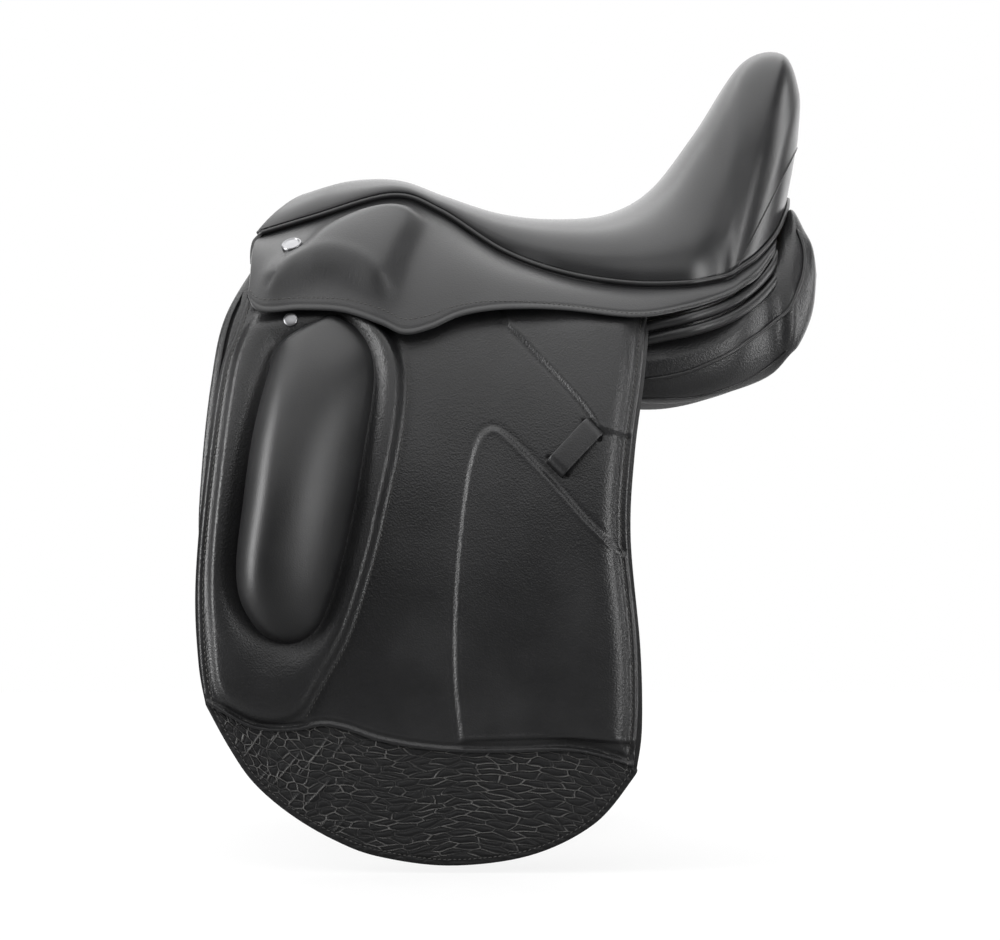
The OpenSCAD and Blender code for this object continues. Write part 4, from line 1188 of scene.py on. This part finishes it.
# %% Sweat flaps
sweat_front = np.array([
    [-200, 107], [-222.5, 60], [-230.5, 8], [-235.5, -60], [-236, -120], [-224, -200], [-180, -280],
    [-100, -322], [-70, -330]], float)
sweat_rear = np.array([
    [108, 107], [106, 60], [102, 10], [95, -50], [92, -120], [95, -200], [80, -280], [40, -320],
    [-10, -330]], float)
rows, cols = np.linspace(0, 8, 120), np.r_[np.linspace(0, 0.12, 70), np.linspace(0.12, 1, 40)[1:]]
a, b = spline(sweat_front, rows), spline(sweat_rear, rows)
sweat_places = a[:, None] + (b - a)[:, None] * cols[None, :, None]
from_front = np.linalg.norm(sweat_places - sweat_places[:, :1], axis=-1)
roll_fade = smooth((sweat_places[..., 1] + 230) / 120)
pad = 5.0 * swell(from_front / 8) * (1 - smooth((from_front - 20) / 14)) * roll_fade
pad -= 2.2 * np.exp(-((from_front - 8) / 1.1) ** 2) * roll_fade
sweat_points = beside(sweat_places[..., 0], sweat_places[..., 1], SWEAT + pad)
for side, k in SIDES.items():
    sweat = leather_sheet(f"sweat_leather_{side}", to_side(sweat_points, side), 3.5, (0, -k, 0))
    dress(sweat, panel_hide)
    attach(sweat, "saddle")
    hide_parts(f"sweat_flap_{side}")
print("sweat flap", sweat_points.min((0, 1)), sweat_points.max((0, 1)))

# %% [markdown]
# Two girth straps a side hang from short webs on the tree. Their holes are cut by a Boolean with one
# cylinder after another, as a saddler punches them, so they go right through.

# %% Straps
STRAP_PLACES = {"front": -62, "rear": 30}
for side, k in SIDES.items():
    webs = []
    for place, x in STRAP_PLACES.items():
        down = np.r_[np.linspace(42.5, 30, 12), np.linspace(30, -300, 90)[1:]]
        zz, xx = np.meshgrid(down, np.linspace(-1, 1, 17), indexing="ij")
        half = 12.5 * np.sqrt(np.clip(1 - (np.maximum(0, zz - 30) / 12.6) ** 2, 0.02, 1))
        p = to_side(beside(x + xx * half, zz, 10.0), side)
        strap = leather_sheet(f"girth_billet_{place}_{side}", p, 4.5, (0, -k, 0), 0.2)
        for i in range(6):
            z = -270 + 25 * i
            n = barrel_out(np.array(float(z)))
            at = beside(x, float(z), 7.75)
            bpy.ops.object.select_all(action="DESELECT")
            bpy.ops.mesh.primitive_cylinder_add(vertices=24, radius=2.5 * MM, depth=20 * MM,
                                                location=Vector(at * [1, k, 1]) * MM,
                                                rotation=(k * math.atan2(n[0], n[1]), 0, 0))
            punch = bpy.context.object
            apply_modifier(strap, "BOOLEAN", object=punch, operation="DIFFERENCE", solver="EXACT")
            bpy.data.objects.remove(punch)
        smooth_faces(strap, 40)
        dress(strap, strap_hide)
        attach(strap, f"strap_{place}_{side}")
        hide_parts(f"girth_strap_{place}_{side}")
        zz, xx = np.meshgrid(np.linspace(80, 38, 16), np.linspace(-20, 20, 17), indexing="ij")
        p = beside(x + xx, zz, 11.3)
        p = p[p[:, 0, 2] >= 42.8]
        webs.append(leather_sheet(f"girth_webbing_{place}_{side}", to_side(p, side), 7.1, (0, -k, 0), 0.1))
        dress(webs[-1], web_cloth)
        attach(webs[-1], "saddle")
    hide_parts(f"girth_web_{side}")
    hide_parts(f"girth_web_{side}")
print("straps", list(STRAP_PLACES))

# %% [markdown]
# Under the foam, one web runs along the tree and three cross it.

# %% Seat webs
SEAT_HIDE, SEAT_FOAM, CLEAR, WEB = 2.5, 13, 0.7, 2
web_top = SEAT_HIDE + CLEAR + SEAT_FOAM + CLEAR
long_web = seat_layer(np.linspace(2.5, 7.5, 50), np.linspace(-0.12, 0.12, 9), web_top)
spine = leather_sheet("seat_webbing", long_web, WEB, (0, 0, 1), 0.2)
crossing = []
for i, t in enumerate((3.2, 4.6, 6)):
    cross_web = seat_layer(np.linspace(t, t + 0.6, 10), np.linspace(-0.36, 0.36, 31), web_top + WEB + CLEAR)
    crossing.append(leather_sheet(f"cross_webbing_{i}", cross_web, WEB, (0, 0, 1), 0.2))
for piece in [spine, *crossing]:
    dress(piece, web_cloth)
    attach(piece, "saddle")
    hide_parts("seat_web" if piece == spine else "seat_cross_webs")
print("webs", 1 + len(crossing))

# %% [markdown]
# ## Camera, light and floor
# The photograph looks level at the near side from about 2.2 m.

# %% Camera
cam = bpy.data.objects.new("camera", bpy.data.cameras.new("camera"))
bpy.context.scene.collection.objects.link(cam)
cam.location = (0, -2.2, -0.06)
cam.rotation_euler = (math.pi / 2, 0, 0)
cam.data.lens, cam.data.sensor_width, cam.data.sensor_fit = 92.6, 36.0, "HORIZONTAL"
bpy.context.scene.camera = cam
print("camera", cam.location)

# %% [markdown]
# Large soft lamps light black leather by their reflections: one overhead for the seat, one behind
# for the outline, and upright ones whose streaks run along the block, the rolls and the cantle.

# %% Lamps
def lamp(name, at, aim, size, power):
    data = bpy.data.lights.new(name, "AREA")
    data.shape, data.size, data.size_y, data.energy = "RECTANGLE", size[0], size[1], power
    obj = bpy.data.objects.new(name, data)
    bpy.context.scene.collection.objects.link(obj)
    obj.location = at
    obj.rotation_euler = (Vector(aim) - Vector(at)).to_track_quat("-Z", "Y").to_euler()
    return obj


lamp("overhead", (-0.1, 0.1, 1.6), (0, 0.1, 0), (2.4, 2.4), 46)
lamp("overhead_front", (-0.1, -1.75, 1.35), (0, 0, 0), (2.4, 0.9), 11)
lamp("backdrop", (0, 2.4, 1.2), (0, 0, 0.6), (5.0, 3.4), 100).visible_camera = False
lamp("left_side", (-1.7, -0.6, 0.4), (0, 0, 0), (0.5, 1.7), 40)
lamp("right_side", (1.8, 0.25, 0.35), (0, 0, 0), (0.5, 1.6), 16)
lamp("right_front", (1.35, -1.36, 0.3), (0, 0, 0), (0.3, 1.5), 19)
print("lamps", len(bpy.data.lights))

# %% [markdown]
# The world is white to the camera and dim to the leather. The floor is nearly white to the camera,
# and the share of its own shading that is left keeps the soft shadow.

# %% World and floor
world = bpy.data.worlds.new("studio")
bpy.context.scene.world = world
world.use_nodes = True
tree = world.node_tree
path = tree.nodes.new("ShaderNodeLightPath")
seen = tree.nodes.new("ShaderNodeMath")
seen.operation = "MAXIMUM"
tree.links.new(path.outputs["Is Camera Ray"], seen.inputs[0])
tree.links.new(path.outputs["Is Transmission Ray"], seen.inputs[1])
strength = tree.nodes.new("ShaderNodeMapRange")
strength.inputs["To Min"].default_value, strength.inputs["To Max"].default_value = 0.08, 1.0
tree.links.new(seen.outputs[0], strength.inputs["Value"])
tree.links.new(strength.outputs[0], tree.nodes["Background"].inputs["Strength"])
tree.nodes["Background"].inputs["Color"].default_value = (1, 1, 1, 1)
bpy.ops.object.select_all(action="DESELECT")
bpy.ops.mesh.primitive_grid_add(x_subdivisions=8, y_subdivisions=8, size=2.8, location=(0, 0, -0.372))
floor = bpy.context.object
floor.name = "floor"
bpy.ops.object.transform_apply(location=True)
n = Nodes("white_floor")
speck = n.noise(n.place(), 40.0)
n.set(Base_Color=n.mix(speck, (0.24, 0.24, 0.24, 1), (0.27, 0.27, 0.27, 1)), Roughness=0.7 + speck * 0.2)
shine = n.add("ShaderNodeEmission", {}, {"Color": (1, 1, 1, 1), "Strength": 1.5})
rays = n.add("ShaderNodeLightPath", out="Is Camera Ray")
both = n.add("ShaderNodeMixShader", {}, {0: rays * 0.55, 1: Socket(n, n.shader.outputs[0]), 2: shine})
n.tree.links.new(both.out, n.tree.nodes["Material Output"].inputs["Surface"])
floor.data.materials.append(n.material)
bpy.context.scene.view_settings.view_transform = "Standard"
print("floor", floor.dimensions)
